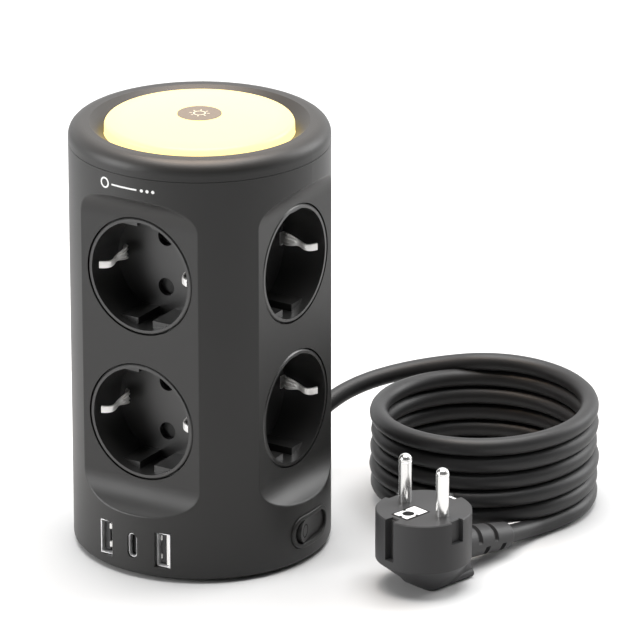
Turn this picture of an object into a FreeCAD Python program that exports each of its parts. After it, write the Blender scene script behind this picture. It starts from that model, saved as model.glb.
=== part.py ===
import FreeCAD, Part
import math
import os
import re

import Sketcher
from FreeCAD import Placement, Rotation, Vector

# A round desk tower with eight earthed sockets, three USB ports, a rocker switch, a lamp on
# top and a mains lead wound in a coil beside it.  Millimetres, +Z up.  The origin is the middle
# of the footprint, on the surface that the feet stand on.  The USB ports face -Y, the switch
# faces +X and the mains lead leaves at +Y.

doc = FreeCAD.newDocument("socket_tower")
sheet = doc.addObject("Spreadsheet::Sheet", "Sizes")

SIZES = [
    # the body
    ("body_radius", 47.5, "outside radius of the round body"),
    ("body_height", 154.0, "height of the seam under the top ring"),
    ("wall", 2.5, "thickness of the body's wall"),
    ("deck", 2.5, "thickness of the deck that closes the body's top"),
    ("bottom_round", 1.9, "rounding of the body's lower edge"),
    ("seam_chamfer", 0.2, "chamfer each side of the top seam"),
    ("foot_height", 1.0, "how far the feet lift the body"),
    ("panel_cut", 7.0, "how deep a flat panel is cut into the round body"),
    ("panel_low", 35.5, "where the flat of a panel starts"),
    ("panel_high", 134.3, "where the flat of a panel ends"),
    ("sweep_radius", 12.5, "hollow sweep above and below a panel"),
    ("panel_edge_round", 0.8, "rounding of a panel's rim"),
    # the sockets
    ("socket_low", 58.0, "height of the lower sockets"),
    ("socket_high", 114.0, "height of the upper sockets"),
    ("well_radius", 20.4, "inside radius of a socket well"),
    ("well_wall", 1.5, "wall of a socket well"),
    ("well_depth", 17.5, "panel to the floor of a well"),
    ("well_floor", 2.0, "thickness of a well's floor"),
    ("well_gap", 0.4, "gap round a well in its panel"),
    ("well_rim_chamfer", 0.5, "chamfer of a well's rim"),
    ("well_flange", 1.7, "how far the flange behind the panel stands out"),
    ("well_flange_thick", 1.6, "thickness of that flange"),
    ("well_corner_gap", 1.1, "half the gap between the back edges of neighbouring wells"),
    ("well_back_chamfer", 1.0, "least chamfer of a well's back edge"),
    ("guide_reach", 2.9, "how far the guide blocks reach in from a well's wall"),
    ("guide_depth", 3.6, "mouth of a well to its guide blocks"),
    ("guide_notch", 6.2, "width of the notch in a guide block"),
    ("pin_pitch", 19.0, "distance between a plug's two pins"),
    ("pin_radius", 2.4, "radius of a plug's pin"),
    ("pin_hole_radius", 3.3, "radius of a pin hole in a well"),
    # earth contacts
    ("strip_width", 5.0, "width of an earth contact"),
    ("strip_thick", 0.8, "thickness of an earth contact"),
    ("strip_gap", 0.2, "room round a strip in its slot and behind its well"),
    ("tab_inset", 0.8, "wall of a well to the tab of an earth contact"),
    ("knuckle_inset", 5.2, "wall of a well to the knuckle of an earth contact"),
    ("arm_inset", 2.4, "wall of a well to the arm of an earth contact at the floor"),
    ("tab_depth", 3.4, "mouth to the end of the tab"),
    ("tab_length", 3.6, "length of the tab"),
    ("knuckle_depth", 11.6, "mouth to the knuckle"),
    ("arm_depth", 15.0, "mouth to where the arm runs straight to the floor"),
    # shutters and contacts
    ("shutter_thick", 1.6, "thickness of a shutter"),
    ("shutter_gap", 0.2, "running gap of a shutter"),
    ("shutter_half_width", 4.0, "half the width of a shutter"),
    ("shutter_end", 4.0, "how far a shutter reaches past a pin hole's middle"),
    ("shutter_travel", 6.8, "how far a shutter slides aside"),
    ("shutter_pad", 0.7, "height of the sloped pads on a shutter"),
    ("spring_strip", 0.3, "thickness of a shutter's leaf spring"),
    ("spring_radius", 4.2, "radius of the bowed leaf spring"),
    ("core_room", 3.0, "room for a shutter between a well's floor and the contact core"),
    ("core_wall", 2.0, "wall of the contact core"),
    ("core_low", 36.0, "lower end of the contact core's walls"),
    ("core_high", 136.0, "upper end of the contact core's walls"),
    ("core_post", 4.8, "width of the four corner posts"),
    ("rail_width", 1.6, "width of the rails that guide a shutter"),
    ("sleeve_radius", 3.3, "outside radius of a contact sleeve"),
    ("sleeve_gap", 0.2, "room round a contact sleeve"),
    ("sleeve_bore_gap", 0.05, "grip of a contact sleeve round a pin"),
    ("ring_radius", 9.0, "outside radius of the ring that joins four sleeves"),
    ("ring_bore", 6.5, "inside radius of that ring"),
    ("ring_down", 5.0, "contact level to the ring's underside"),
    ("ring_up", 4.0, "contact level to the ring's top"),
    ("riser_offset", 10.0, "axis to a riser, along X and along Y"),
    ("riser_radius", 1.5, "radius of a riser between contact levels"),
    ("riser_low", 28.0, "lower end of the risers"),
    # base
    ("base_inset", 0.4, "underside of the base plate above the body's edge"),
    ("base_thick", 3.0, "thickness of the base plate"),
    ("base_gap", 0.2, "gap round the base plate"),
    ("foot_radius", 5.0, "radius of a rubber foot"),
    ("foot_inset", 14.5, "outside of the body to the middle of a rubber foot"),
    ("foot_recess", 0.8, "how deep a foot sits in the base plate"),
    ("screw_inset", 6.9, "outside of the body to a base screw"),
    ("screw_radius", 1.4, "radius of a screw's shank"),
    ("screw_head_radius", 2.8, "radius of a screw's head"),
    ("screw_head", 1.7, "height of a screw's head"),
    ("screw_length", 12.0, "length of a screw's shank"),
    ("screw_gap", 0.15, "room round a screw"),
    ("boss_radius", 5.2, "radius of a screw boss"),
    ("boss_height", 15.0, "height of a screw boss"),
    # top
    ("ring_rise", 7.4, "seam to the crest of the top ring"),
    ("ring_shoulder", 5.0, "rounding of the ring's outer shoulder"),
    ("crest_width", 2.6, "width of the ring's flat crest"),
    ("ring_width", 13.1, "outside of the body to the visible lens"),
    ("ring_foot_rise", 3.5, "seam to the foot of the ring's inner slope"),
    ("lens_rise", 8.0, "seam to where the lens's dome starts"),
    ("lens_round", 2.0, "rounding of the lens's shoulder"),
    ("dome_rise", 2.0, "start of the lens's dome to its middle"),
    ("lens_thick", 2.0, "thickness of the lens"),
    ("lens_flange", 2.2, "how far the lens reaches under the ring"),
    ("lens_flange_thick", 1.8, "thickness of that flange"),
    ("lens_gap", 0.25, "gap between lens and ring"),
    ("pad_radius", 8.0, "radius of the touch disc"),
    ("pad_gap", 0.15, "gap round the touch disc"),
    ("pad_recess", 1.1, "apex to the floor of the disc's recess"),
    ("pad_proud", 0.05, "touch disc above the edge of its recess"),
    ("board_thick", 1.6, "thickness of the circuit boards"),
    ("led_board_inset", 5.4, "edge of the lens to the edge of the lamp's board"),
    ("led_size", 3.5, "side of a light chip"),
    ("led_height", 0.8, "height of a light chip"),
    ("led_circle", 19.0, "axis to a light chip"),
    ("led_count", 12, "number of light chips"),
    ("wire_hole", 3.0, "radius of the wire hole in the deck"),
    # USB ports
    ("usb_height", 12.1, "height of the USB ports"),
    ("usb_spacing", 12.1, "distance between neighbouring ports"),
    ("usb_a_long", 13.1, "outside length of a wide port"),
    ("usb_a_short", 5.7, "outside width of a wide port"),
    ("usb_c_long", 9.4, "outside length of the small port"),
    ("usb_c_short", 3.7, "outside width of the small port"),
    ("usb_wall", 0.35, "wall of a port's metal shell"),
    ("usb_a_inset", 2.3, "outside of the body to the mouths of the wide ports"),
    ("usb_c_inset", 0.7, "outside of the body to the mouth of the small port"),
    ("usb_board_inset", 14.5, "outside of the body to the face of the ports' board"),
    ("usb_board_width", 38.0, "width of the ports' board"),
    ("usb_board_top", 26.0, "top of the ports' board"),
    ("usb_gap", 0.2, "gap round a port in the body"),
    ("tongue_a_thick", 1.9, "thickness of a wide port's tongue"),
    ("tongue_c_thick", 0.7, "thickness of the small port's tongue"),
    ("tongue_inset", 1.6, "mouth of a port to its tongue"),
    # switch
    ("switch_height", 12.9, "height of the switch"),
    ("switch_long", 24.0, "length of the switch's rim"),
    ("switch_short", 12.8, "height of the switch's rim"),
    ("switch_rim", 1.8, "width of the switch's rim"),
    ("switch_proud", 0.8, "how far the switch's rim stands out of the body"),
    ("switch_deep", 14.8, "front of the rim to the back of the switch"),
    ("switch_floor", 2.0, "thickness of the switch's back"),
    ("switch_gap", 0.2, "gap round the switch in the body"),
    ("rocker_long", 19.2, "length of the rocker"),
    ("rocker_short", 8.6, "height of the rocker"),
    ("rocker_pivot_deep", 6.3, "front of the rim to the rocker's pin"),
    ("rocker_sunk", 1.1, "front of the rim to the rocker's face when level"),
    ("rocker_deep", 8.7, "front of the rim to the rocker's back when level"),
    ("rocker_dish", 60.0, "radius of the rocker's hollow face"),
    ("rocker_tilt", 7.0, "tilt of the rocker to each side, in degrees"),
    ("rocker_pin", 1.0, "radius of the rocker's pin"),
    ("rocker_pin_gap", 0.05, "running gap of the rocker on its pin"),
    # mains lead
    ("cord_radius", 3.4, "radius of the mains lead"),
    ("gland_height", 14.5, "height of the lead's gland"),
    ("gland_neck", 6.0, "radius of the gland in the body's wall"),
    ("gland_collar", 7.8, "radius of the gland's collar"),
    ("gland_collar_thick", 2.2, "thickness of the gland's collar"),
    ("gland_flange", 8.4, "radius of the gland's inner flange"),
    ("gland_flange_thick", 2.4, "thickness of the gland's inner flange"),
    ("gland_gap", 0.15, "gap round the gland"),
    ("gland_root", 5.8, "radius of the gland's taper at the body"),
    ("gland_tip", 4.3, "radius of the gland's taper at the lead"),
    ("coil_x", 72.0, "middle of the coil along X"),
    ("coil_y", 82.8, "middle of the coil along Y"),
    ("coil_radius", 39.2, "axis of the coil to the middle of the lead"),
    ("coil_height", 41.0, "height of the coil's plain solid"),
    ("coil_round", 3.0, "rounding of that solid's edges"),
    # plug
    ("plug_x", 93.4, "middle of the plug along X"),
    ("plug_y", 2.2, "middle of the plug along Y"),
    ("plug_turn", 75.3, "direction of the plug's lead from +X, in degrees"),
    ("plug_radius", 17.5, "radius of the plug's body"),
    ("plug_height", 29.5, "height of the plug's face"),
    ("plug_skirt", 11.0, "height where the round body starts to narrow"),
    ("plug_heel_radius", 8.5, "radius of the narrow end"),
    ("plug_heel", 15.6, "width of the heel that it stands on"),
    ("plug_heel_front", 4.0, "middle of the plug to the front of its heel"),
    ("plug_heel_back", 20.0, "middle of the plug to the back of its heel"),
    ("plug_guide", 15.6, "middle of the plug to its guide flats"),
    ("plug_guide_width", 5.6, "width of a guide flat"),
    ("plug_guide_depth", 8.6, "how far a guide flat reaches down"),
    ("plug_slot", 4.2, "width of a side slot"),
    ("plug_slot_depth", 3.4, "depth of a side slot"),
    ("plug_strip", 3.8, "width of the earth strip in a side slot"),
    ("plug_slot_low", 13.8, "lower end of the slot away from the lead"),
    ("plug_slot_short", 10.5, "how far down the slot above the lead reaches"),
    ("plug_pin_length", 18.5, "how far the pins stand out"),
    ("plug_pin_seat", 8.0, "how deep the pins sit"),
    ("plug_pin_root", 2.0, "radius of a pin's root in the plug"),
    ("plug_pin_tip", 1.6, "rounding of a pin's end"),
    ("plug_pin_gap", 0.02, "grip of the plug round its pins"),
    ("earth_hole_offset", 7.8, "middle of the plug to its earth hole"),
    ("earth_hole", 2.45, "radius of the earth hole"),
    ("earth_plate_offset", 6.6, "middle of the plug to the middle of its earth plate"),
    ("earth_plate_long", 10.4, "length of the earth plate"),
    ("earth_plate_short", 6.8, "width of the earth plate"),
    ("earth_plate_thick", 0.6, "thickness of the earth plate"),
    ("earth_tube_wall", 0.5, "wall of the earth tube"),
    ("earth_tube_depth", 15.0, "depth of the earth tube"),
    ("boot_start", 14.0, "middle of the plug to the start of its boot"),
    ("boot_length", 28.6, "length of the boot"),
    ("boot_root_height", 11.2, "height of the boot's axis at the plug"),
    ("boot_drop", 9.2, "downward slope of the boot, in degrees"),
    ("boot_root", 6.6, "radius of the boot at the plug"),
    ("boot_tip", 4.9, "radius of the boot at the lead"),
    ("boot_groove", 1.3, "width of a groove round the boot"),
    ("boot_groove_depth", 1.1, "depth of a groove round the boot"),
    ("boot_groove_first", 12.0, "start of the boot to its first groove"),
    ("boot_groove_pitch", 5.1, "distance between the boot's grooves"),
    ("boot_grooves", 3, "number of grooves round the boot"),
    ("wire_radius", 1.2, "radius of an inner wire"),
    ("wire_gap", 0.3, "gap at the end of an inner wire"),
]
# sizes that follow from the ones above
FOLLOWING = [
    ("panel_distance", "=body_radius - panel_cut", "flat socket panel to the axis"),
    ("guide_flat", "=well_radius - guide_reach", "middle of a well to its guide blocks"),
    ("tab_reach", "=well_radius - tab_inset", "middle of a well to an earth contact's tab"),
    ("knuckle_reach", "=well_radius - knuckle_inset", "middle of a well to the knuckle"),
    ("arm_reach", "=well_radius - arm_inset", "middle of a well to the arm at the floor"),
    ("core_half", "=body_radius - panel_cut - well_depth - well_floor - core_room",
     "half the width of the contact core"),
    ("foot_circle", "=body_radius - foot_inset", "axis to a rubber foot"),
    ("screw_circle", "=body_radius - screw_inset", "axis to a base screw"),
    ("ring_top", "=body_height + ring_rise", "crest of the top ring"),
    ("ring_foot", "=body_height + ring_foot_rise", "foot of the ring's inner slope"),
    ("lens_radius", "=body_radius - ring_width", "radius of the visible lens"),
    ("lens_shoulder", "=body_height + lens_rise", "height where the lens's dome starts"),
    ("lens_apex", "=body_height + lens_rise + dome_rise", "height of the lens at its middle"),
    ("led_board_radius", "=body_radius - ring_width - led_board_inset", "lamp's board"),
    ("usb_a_front", "=body_radius - usb_a_inset", "axis to the mouths of the wide ports"),
    ("usb_c_front", "=body_radius - usb_c_inset", "axis to the mouth of the small port"),
    ("usb_board_face", "=body_radius - usb_board_inset", "axis to the ports' board"),
    ("switch_front", "=body_radius + switch_proud", "axis to the front of the rim"),
    ("switch_back", "=switch_front - switch_deep", "axis to the back of the switch"),
    ("rocker_pivot", "=switch_front - rocker_pivot_deep", "axis to the rocker's pin"),
    ("rocker_front", "=switch_front - rocker_sunk", "axis to the rocker's face when level"),
    ("rocker_back", "=switch_front - rocker_deep", "axis to the rocker's back when level"),
]
NAMES = {name for name, _, _ in SIZES + FOLLOWING}

for row, (name, number, note) in enumerate(SIZES + FOLLOWING, start=1):
    sheet.set(f"A{row}", name)
    sheet.set(f"B{row}", str(number))
    sheet.setAlias(f"B{row}", name)
    sheet.set(f"C{row}", note)
doc.recompute()

WELL_BACK = "(panel_distance - well_depth - well_floor)"
WELL_OUTER = "(well_radius + well_wall)"
FACES = ("front", "right", "back", "left")
FACE_ANGLES = {"front": -90, "right": 0, "back": 90, "left": 180}
TURN_TO = {
    "Z": Rotation(),
    "X": Rotation(Vector(0, 1, 0), 90),
    "Y": Rotation(Vector(1, 0, 0), -90),
}
PIECES = []


# ---------------------------------------------------------------- helpers
def on_sheet(formula):
    """Writes a formula's size names as the sheet's own names."""
    def swap(match):
        word = match.group()
        return f"Sizes.{word}" if word in NAMES else word
    return re.sub(r"[a-z_]+", swap, str(formula))


def number(formula):
    """Works a formula out on the sheet, as a plain number."""
    return float(doc.Sizes.evalExpression(on_sheet(formula)))


def link(item, **formulas):
    """Ties properties of an object to formulas on the sheet."""
    for name, formula in formulas.items():
        item.setExpression(name, on_sheet(formula))


def put(item, at, turn=Rotation()):
    """Places an object: a turn, and three formulas for its position."""
    item.Placement = Placement(Vector(), turn)
    for letter, formula in zip("xyz", at):
        item.setExpression(f"Placement.Base.{letter}", on_sheet(formula))
    return item


def block(label, low, high):
    """A box between two opposite corners, each given by three formulas."""
    item = doc.addObject("Part::Box", label)
    spans = [f"({b}) - ({a})" for a, b in zip(low, high)]
    link(item, Length=spans[0], Width=spans[1], Height=spans[2])
    return put(item, low)


def rod(label, radius, length, at, along="Z"):
    """A cylinder that starts at a point and runs along an axis."""
    item = doc.addObject("Part::Cylinder", label)
    link(item, Radius=radius, Height=length)
    return put(item, at, TURN_TO[along])


def cone(label, radius_start, radius_end, length, at, along="Z"):
    """A cone that starts at a point and runs along an axis."""
    item = doc.addObject("Part::Cone", label)
    link(item, Radius1=radius_start, Radius2=radius_end, Height=length)
    return put(item, at, TURN_TO[along])


def fuse(label, parts):
    """Joins several solids into one."""
    item = doc.addObject("Part::MultiFuse", label)
    item.Shapes = parts
    return item


def cut(label, base, tools):
    """Takes tools away from a base."""
    item = doc.addObject("Part::Cut", label)
    item.Base = base
    item.Tool = tools[0] if len(tools) == 1 else fuse(f"{label}_tools", tools)
    return item


def group(label, parts):
    """Keeps several separate solids together as one piece."""
    item = doc.addObject("Part::Compound", label)
    item.Links = parts
    return item


def slot_bar(label, depth_axis, long_axis, half_long, half_short, middle, near, far):
    """A bar with round ends that runs from near to far along one axis and is long along another.

    The middle gives the formulas of its centre line; its entry for the depth axis isn't read.
    """
    deep = "XYZ".index(depth_axis)
    wide = "XYZ".index(long_axis)
    third = 3 - deep - wide
    straight = f"(({half_long}) - ({half_short}))"
    low = ["", "", ""]
    high = ["", "", ""]
    low[deep], high[deep] = near, far
    low[wide] = f"{middle[wide]} - {straight}"
    high[wide] = f"{middle[wide]} + {straight}"
    low[third] = f"{middle[third]} - ({half_short})"
    high[third] = f"{middle[third]} + ({half_short})"
    bars = [block(f"{label}_middle", low, high)]
    for side, sign in (("a", "+"), ("b", "-")):
        at = ["", "", ""]
        at[deep] = near
        at[wide] = f"{middle[wide]} {sign} {straight}"
        at[third] = middle[third]
        bars.append(rod(f"{label}_end_{side}", half_short, f"({far}) - ({near})", at, depth_axis))
    return fuse(label, bars)


def keep(item, turn=None):
    """Counts an object as a finished piece, turned about the tower's axis if asked."""
    if turn is not None:
        item.Placement = Placement(Vector(), turn)
    PIECES.append(item)
    return item


def facing(angle):
    """Turns the panel frame (X along the panel, Y up, Z outward) to face an angle."""
    return Rotation(Vector(0, 0, 1), angle) * Rotation(Vector(1, 1, 1), 120)


def origin_plane(body, role):
    """One of a body's own origin planes."""
    return next(item for item in body.Origin.OriginFeatures if item.Role == role)


def pin_point(sketch, edge, end, x_formula, y_formula):
    """Ties one end of an edge to two formulas, measured from the sketch's origin."""
    for kind, formula, axis in (("DistanceX", x_formula, -2), ("DistanceY", y_formula, -1)):
        size = number(formula)
        if abs(size) < 1e-9:
            sketch.addConstraint(Sketcher.Constraint("PointOnObject", edge, end, axis))
            continue
        signed = formula if size > 0 else f"-({formula})"
        ends = (-1, 1, edge, end) if size > 0 else (edge, end, -1, 1)
        index = sketch.addConstraint(Sketcher.Constraint(kind, *ends, abs(size)))
        sketch.setExpression(f"Constraints[{index}]", on_sheet(signed))


def profile(body, plane, points):
    """A closed outline in a plane of a body.

    Each point is two formulas.  A third one makes the edge that leaves the point an arc of
    that radius, which bulges to the right of its travel, or to the left with a minus sign
    before it.
    """
    sketch = body.newObject("Sketcher::SketchObject", f"{body.Name}_outline")
    sketch.AttachmentSupport = [(origin_plane(body, plane), "")]
    sketch.MapMode = "FlatFace"
    corners = [Vector(number(p[0]), number(p[1]), 0) for p in points]
    starts = []
    for i, point in enumerate(points):
        a = corners[i]
        b = corners[(i + 1) % len(corners)]
        if len(point) == 2:
            sketch.addGeometry(Part.LineSegment(a, b), False)
            starts.append(1)
            continue
        radius = number(point[2])
        chord = b - a
        right = Vector(chord.y, -chord.x, 0).normalize()
        side = math.copysign(1, radius)
        rise = abs(radius) - math.sqrt(radius ** 2 - (chord.Length / 2) ** 2)
        middle = (a + b) * 0.5 + right * side * rise
        arc = Part.Arc(a, middle, b)
        sketch.addGeometry(arc, False)
        begin = sketch.getPoint(i, 1)
        starts.append(1 if (begin - a).Length < 1e-6 else 2)
    for i, point in enumerate(points):
        before = (i - 1) % len(points)
        sketch.addConstraint(
            Sketcher.Constraint("Coincident", before, 3 - starts[before], i, starts[i])
        )
        pin_point(sketch, i, starts[i], point[0], point[1])
        if len(point) == 3:
            radius = number(point[2])
            signed = point[2] if radius > 0 else f"-({point[2]})"
            index = sketch.addConstraint(Sketcher.Constraint("Radius", i, abs(radius)))
            sketch.setExpression(f"Constraints[{index}]", on_sheet(signed))
    return sketch


def turned(label, points):
    """A body turned about the Z axis from an outline of radius and height."""
    body = doc.addObject("PartDesign::Body", label)
    sketch = profile(body, "XZ_Plane", points)
    doc.recompute()
    spin = body.newObject("PartDesign::Revolution", f"{label}_turned")
    spin.Profile = (sketch, [""])
    spin.ReferenceAxis = (sketch, ["V_Axis"])
    spin.Angle = 360
    body.Tip = spin
    return body


def shaped(label, shape, at=Vector(), turn=Rotation()):
    """A piece whose shape is worked out here, and then placed."""
    item = doc.addObject("Part::Feature", label)
    item.Shape = shape
    item.Placement = Placement(at, turn)
    return item


def arc_path(points, radii=None):
    """Straight runs through points, joined by tangent arcs as large as their runs allow."""
    share = 0.45
    edges = []
    start = points[0]
    for before, corner, after in zip(points, points[1:], points[2:]):
        back = before - corner
        on = after - corner
        shorter = min(back.Length, on.Length)
        back.normalize()
        on.normalize()
        half_turn = (math.pi - back.getAngle(on)) / 2
        radius = share * shorter / math.tan(half_turn)
        if radii is not None:
            radii.append(radius)
        enter = corner + back * share * shorter
        leave = corner + on * share * shorter
        inward = (back + on).normalize()
        crown = corner + inward * (radius / math.cos(half_turn) - radius)
        edges.append(Part.LineSegment(start, enter).toShape())
        edges.append(Part.Arc(enter, crown, leave).toShape())
        start = leave
    edges.append(Part.LineSegment(start, points[-1]).toShape())
    return Part.Wire(edges)


def tube(points, radius, name):
    """A round bar along an arc path, checked against its section times its length."""
    radii = []
    path = arc_path(points, radii)
    ring = Part.Circle(points[0], points[1] - points[0], radius).toShape()
    solid = path.makePipeShell([Part.Wire([ring])], True, True)
    expected = math.pi * radius ** 2 * path.Length
    if abs(solid.Volume / expected - 1) > 0.01:
        raise SystemExit(f"{name}: volume {solid.Volume:.0f}, expected {expected:.0f}")
    listed = ", ".join(f"{r:.0f}" for r in radii)
    print(f"{name}: {path.Length:.0f} mm long, bend radii {listed} mm")
    return solid


# ---------------------------------------------------------------- body, base and top
def panel_cutters(label, depth_formula, sweep_formula):
    """The four hollows of the flat panels, as solids that are taken away."""
    cutters = []
    sweep_middle = "panel_distance + sweep_radius"
    half_width = "body_radius"
    for face in FACES:
        slab = block(
            f"{label}_{face}_slab",
            (f"-({half_width})", "panel_low", depth_formula),
            (half_width, "panel_high", f"{sweep_middle} + {sweep_formula}"),
        )
        rolls = [
            rod(
                f"{label}_{face}_{end}", sweep_formula, f"2 * {half_width}",
                (f"-({half_width})", height, sweep_middle), "X",
            )
            for end, height in (("low", "panel_low"), ("high", "panel_high"))
        ]
        cutter = fuse(f"{label}_{face}", [slab] + rolls)
        cutter.Placement = Placement(Vector(), facing(FACE_ANGLES[face]))
        cutters.append(cutter)
    return cutters


def rounded(label, base, radius_formula, wanted):
    """Rounds the edges of a solid that a test picks out."""
    doc.recompute()
    item = doc.addObject("Part::Fillet", label)
    item.Base = base
    radius = number(radius_formula)
    picked = [i for i, edge in enumerate(base.Shape.Edges, start=1) if wanted(edge)]
    item.Edges = [(i, radius, radius) for i in picked]
    return item


def is_panel_rim(edge):
    """True for an edge where a panel's hollow meets the round body."""
    radius = number("body_radius")
    low = number("foot_height + bottom_round")
    high = number("body_height - bottom_round")
    span = edge.ParameterRange
    spots = [edge.valueAt(span[0] + (span[1] - span[0]) * k / 6) for k in range(7)]
    on_skin = all(abs(math.hypot(p.x, p.y) - radius) < 1e-3 for p in spots)
    inside = all(low < p.z < high for p in spots)
    seam = math.hypot(spots[0].x - spots[-1].x, spots[0].y - spots[-1].y) < 1e-6
    at_panel = any(abs(abs(v) - number("panel_distance")) < 1e-3 for p in spots for v in (p.x, p.y))
    return on_skin and inside and (not seam or at_panel)


def housing_shell():
    """The round body: one wall, four flat panels, a deck on top and four screw bosses."""
    solid = rod("shell_outside", "body_radius", "body_height - foot_height",
                ("0", "0", "foot_height"))
    outside = cut("shell_panels", solid, panel_cutters("shell_cut", "panel_distance",
                                                       "sweep_radius"))
    softened = rounded("shell_softened", outside, "panel_edge_round", is_panel_rim)
    bottom = number("foot_height")
    lower = rounded("shell_lower", softened, "bottom_round",
                    lambda e: abs(e.BoundBox.ZMax - bottom) < 1e-6)
    room = rod("shell_room", "body_radius - wall", "body_height - deck", ("0", "0", "0"))
    cavity = cut("shell_cavity", room, panel_cutters("shell_room_cut", "panel_distance - wall",
                                                     "(sweep_radius + wall)"))
    walls = cut("shell_walls", lower, [cavity])
    bosses = []
    screw_holes = []
    seat = "foot_height + base_inset + base_thick"
    for index, (x, y) in enumerate(diagonals("screw_circle")):
        bosses.append(rod(f"shell_boss_{index}", "boss_radius", "boss_height", (x, y, seat)))
        screw_holes.append(rod(f"shell_screw_hole_{index}", "screw_radius + screw_gap",
                               "screw_length", (x, y, seat)))
    reach = rod("shell_boss_limit", "body_radius - wall / 2", "body_height", ("0", "0", "0"))
    joined = doc.addObject("Part::MultiCommon", "shell_bosses")
    joined.Shapes = [fuse("shell_boss_set", bosses), reach]
    openings = []
    for face in FACES:
        for level in ("low", "high"):
            hole = rod(f"shell_well_{face}_{level}", f"{WELL_OUTER} + well_gap", "wall * 4",
                       ("0", f"socket_{level}", "panel_distance - wall * 2"))
            hole_turned = group(f"shell_well_{face}_{level}_turned", [hole])
            hole_turned.Placement = Placement(Vector(), facing(FACE_ANGLES[face]))
            openings.append(hole_turned)
    for port in USB_PORTS:
        openings.append(port_bar(f"shell_usb_{port}", port, "usb_gap", "usb_board_face",
                                 "body_radius + wall"))
    openings += [switch_opening(), gland_opening()]
    openings.append(rod("shell_wire_hole", "wire_hole", "deck * 3",
                        ("0", "0", "body_height - deck * 2")))
    whole = fuse("shell_whole", [walls, joined])
    return keep(cut("housing_shell", whole, openings + screw_holes))


def diagonals(circle):
    """The four points of a circle on the diagonals, as formulas."""
    part = f"{circle} * {math.sqrt(0.5):.6f}"
    return [(f"{a}{part}", f"{b}{part}") for a, b in (("", ""), ("-", ""), ("-", "-"), ("", "-"))]


USB_PORTS = {
    "left": ("-usb_spacing", "usb_a_long / 2", "usb_a_short / 2", "usb_a_front"),
    "middle": ("0", "usb_c_long / 2", "usb_c_short / 2", "usb_c_front"),
    "right": ("usb_spacing", "usb_a_long / 2", "usb_a_short / 2", "usb_a_front"),
}


def port_bar(label, port, grow, near, far):
    """A USB port's outline, grown all round, between two distances in front of the axis."""
    shift, half_long, half_short, _ = USB_PORTS[port]
    long = f"{half_long} + {grow}"
    short = f"{half_short} + {grow}"
    if port == "middle":
        return slot_bar(label, "Y", "Z", long, short, (shift, "", "usb_height"),
                        f"-({far})", f"-({near})")
    return block(
        label,
        (f"{shift} - ({short})", f"-({far})", f"usb_height - ({long})"),
        (f"{shift} + ({short})", f"-({near})", f"usb_height + ({long})"),
    )


def switch_bar(label, half_long, half_short, near, far):
    """A bar of the switch's outline between two distances from the axis."""
    return slot_bar(label, "X", "Y", half_long, half_short, ("", "0", "switch_height"), near, far)


def top_ring():
    """The thick ring that holds the lens: straight foot, round shoulder, sloped inner wall."""
    inner = "lens_radius + lens_gap"
    pocket = "lens_radius + lens_flange + lens_gap"
    pocket_top = "body_height + lens_flange_thick + lens_gap"
    shoulder = "body_radius - ring_shoulder"
    points = [
        (pocket, "body_height"),
        ("body_radius - seam_chamfer", "body_height"),
        ("body_radius", "body_height + seam_chamfer"),
        ("body_radius", "ring_top - ring_shoulder", "ring_shoulder"),
        (shoulder, "ring_top"),
        (f"{shoulder} - crest_width", "ring_top"),
        (inner, "ring_foot"),
        (inner, pocket_top),
        (pocket, pocket_top),
    ]
    return keep(turned("top_ring", points))


DOME_FOOT = "(lens_radius - lens_round)"
DOME_RISE = "(lens_apex - lens_shoulder)"
DOME = f"(({DOME_FOOT}^2 + {DOME_RISE}^2) / (2 * {DOME_RISE}))"


def lamp_lens():
    """The domed lens, with a flange under the ring and a shallow recess for the touch disc."""
    recess = "(pad_radius + pad_gap)"
    inner = "(lens_radius - lens_thick)"
    inner_dome = f"({DOME} - lens_thick)"
    points = [
        ("0", "lens_apex - lens_thick"),
        (inner, f"lens_apex - {DOME} + sqrt({inner_dome}^2 - {inner}^2)"),
        (inner, "body_height"),
        ("lens_radius + lens_flange", "body_height"),
        ("lens_radius + lens_flange", "body_height + lens_flange_thick"),
        ("lens_radius", "body_height + lens_flange_thick"),
        ("lens_radius", "lens_shoulder - lens_round", "lens_round"),
        (DOME_FOOT, "lens_shoulder", DOME),
        (recess, f"lens_apex - {DOME} + sqrt({DOME}^2 - {recess}^2)"),
        (recess, "lens_apex - pad_recess"),
        ("0", "lens_apex - pad_recess"),
    ]
    points[0] = points[0] + (f"-{inner_dome}",)
    return keep(turned("lamp_lens", points))


def touch_pad():
    """The round touch disc on top of the lens."""
    rim = f"lens_apex - {DOME} + sqrt({DOME}^2 - (pad_radius + pad_gap)^2)"
    floor = "lens_apex - pad_recess"
    return keep(rod("touch_pad", "pad_radius", f"{rim} + pad_proud - ({floor})",
                    ("0", "0", floor)))


def lamp_boards():
    """The lamp's round circuit board and the light chips on it."""
    keep(rod("led_board", "led_board_radius", "board_thick", ("0", "0", "body_height")))
    chips = []
    count = int(number("led_count"))
    for index in range(count):
        turn = 360 * index / count
        chip = doc.addObject("Part::Box", f"led_chip_{index}")
        link(chip, Length="led_size", Width="led_size", Height="led_height")
        chip.Placement = Placement(Vector(), Rotation(Vector(0, 0, 1), turn))
        side = math.radians(turn)
        corner_x = f"led_circle * {math.cos(side):.6f} + led_size / 2 * {math.sin(side):.6f}"
        corner_y = f"led_circle * {math.sin(side):.6f} - led_size / 2 * {math.cos(side):.6f}"
        link(chip, **{"Placement.Base.x": corner_x, "Placement.Base.y": corner_y,
                      "Placement.Base.z": "body_height + board_thick"})
        chips.append(chip)
    keep(group("led_chips", chips))


PLATE_LOW = "foot_height + base_inset"
PLATE_TOP = "foot_height + base_inset + base_thick"


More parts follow.
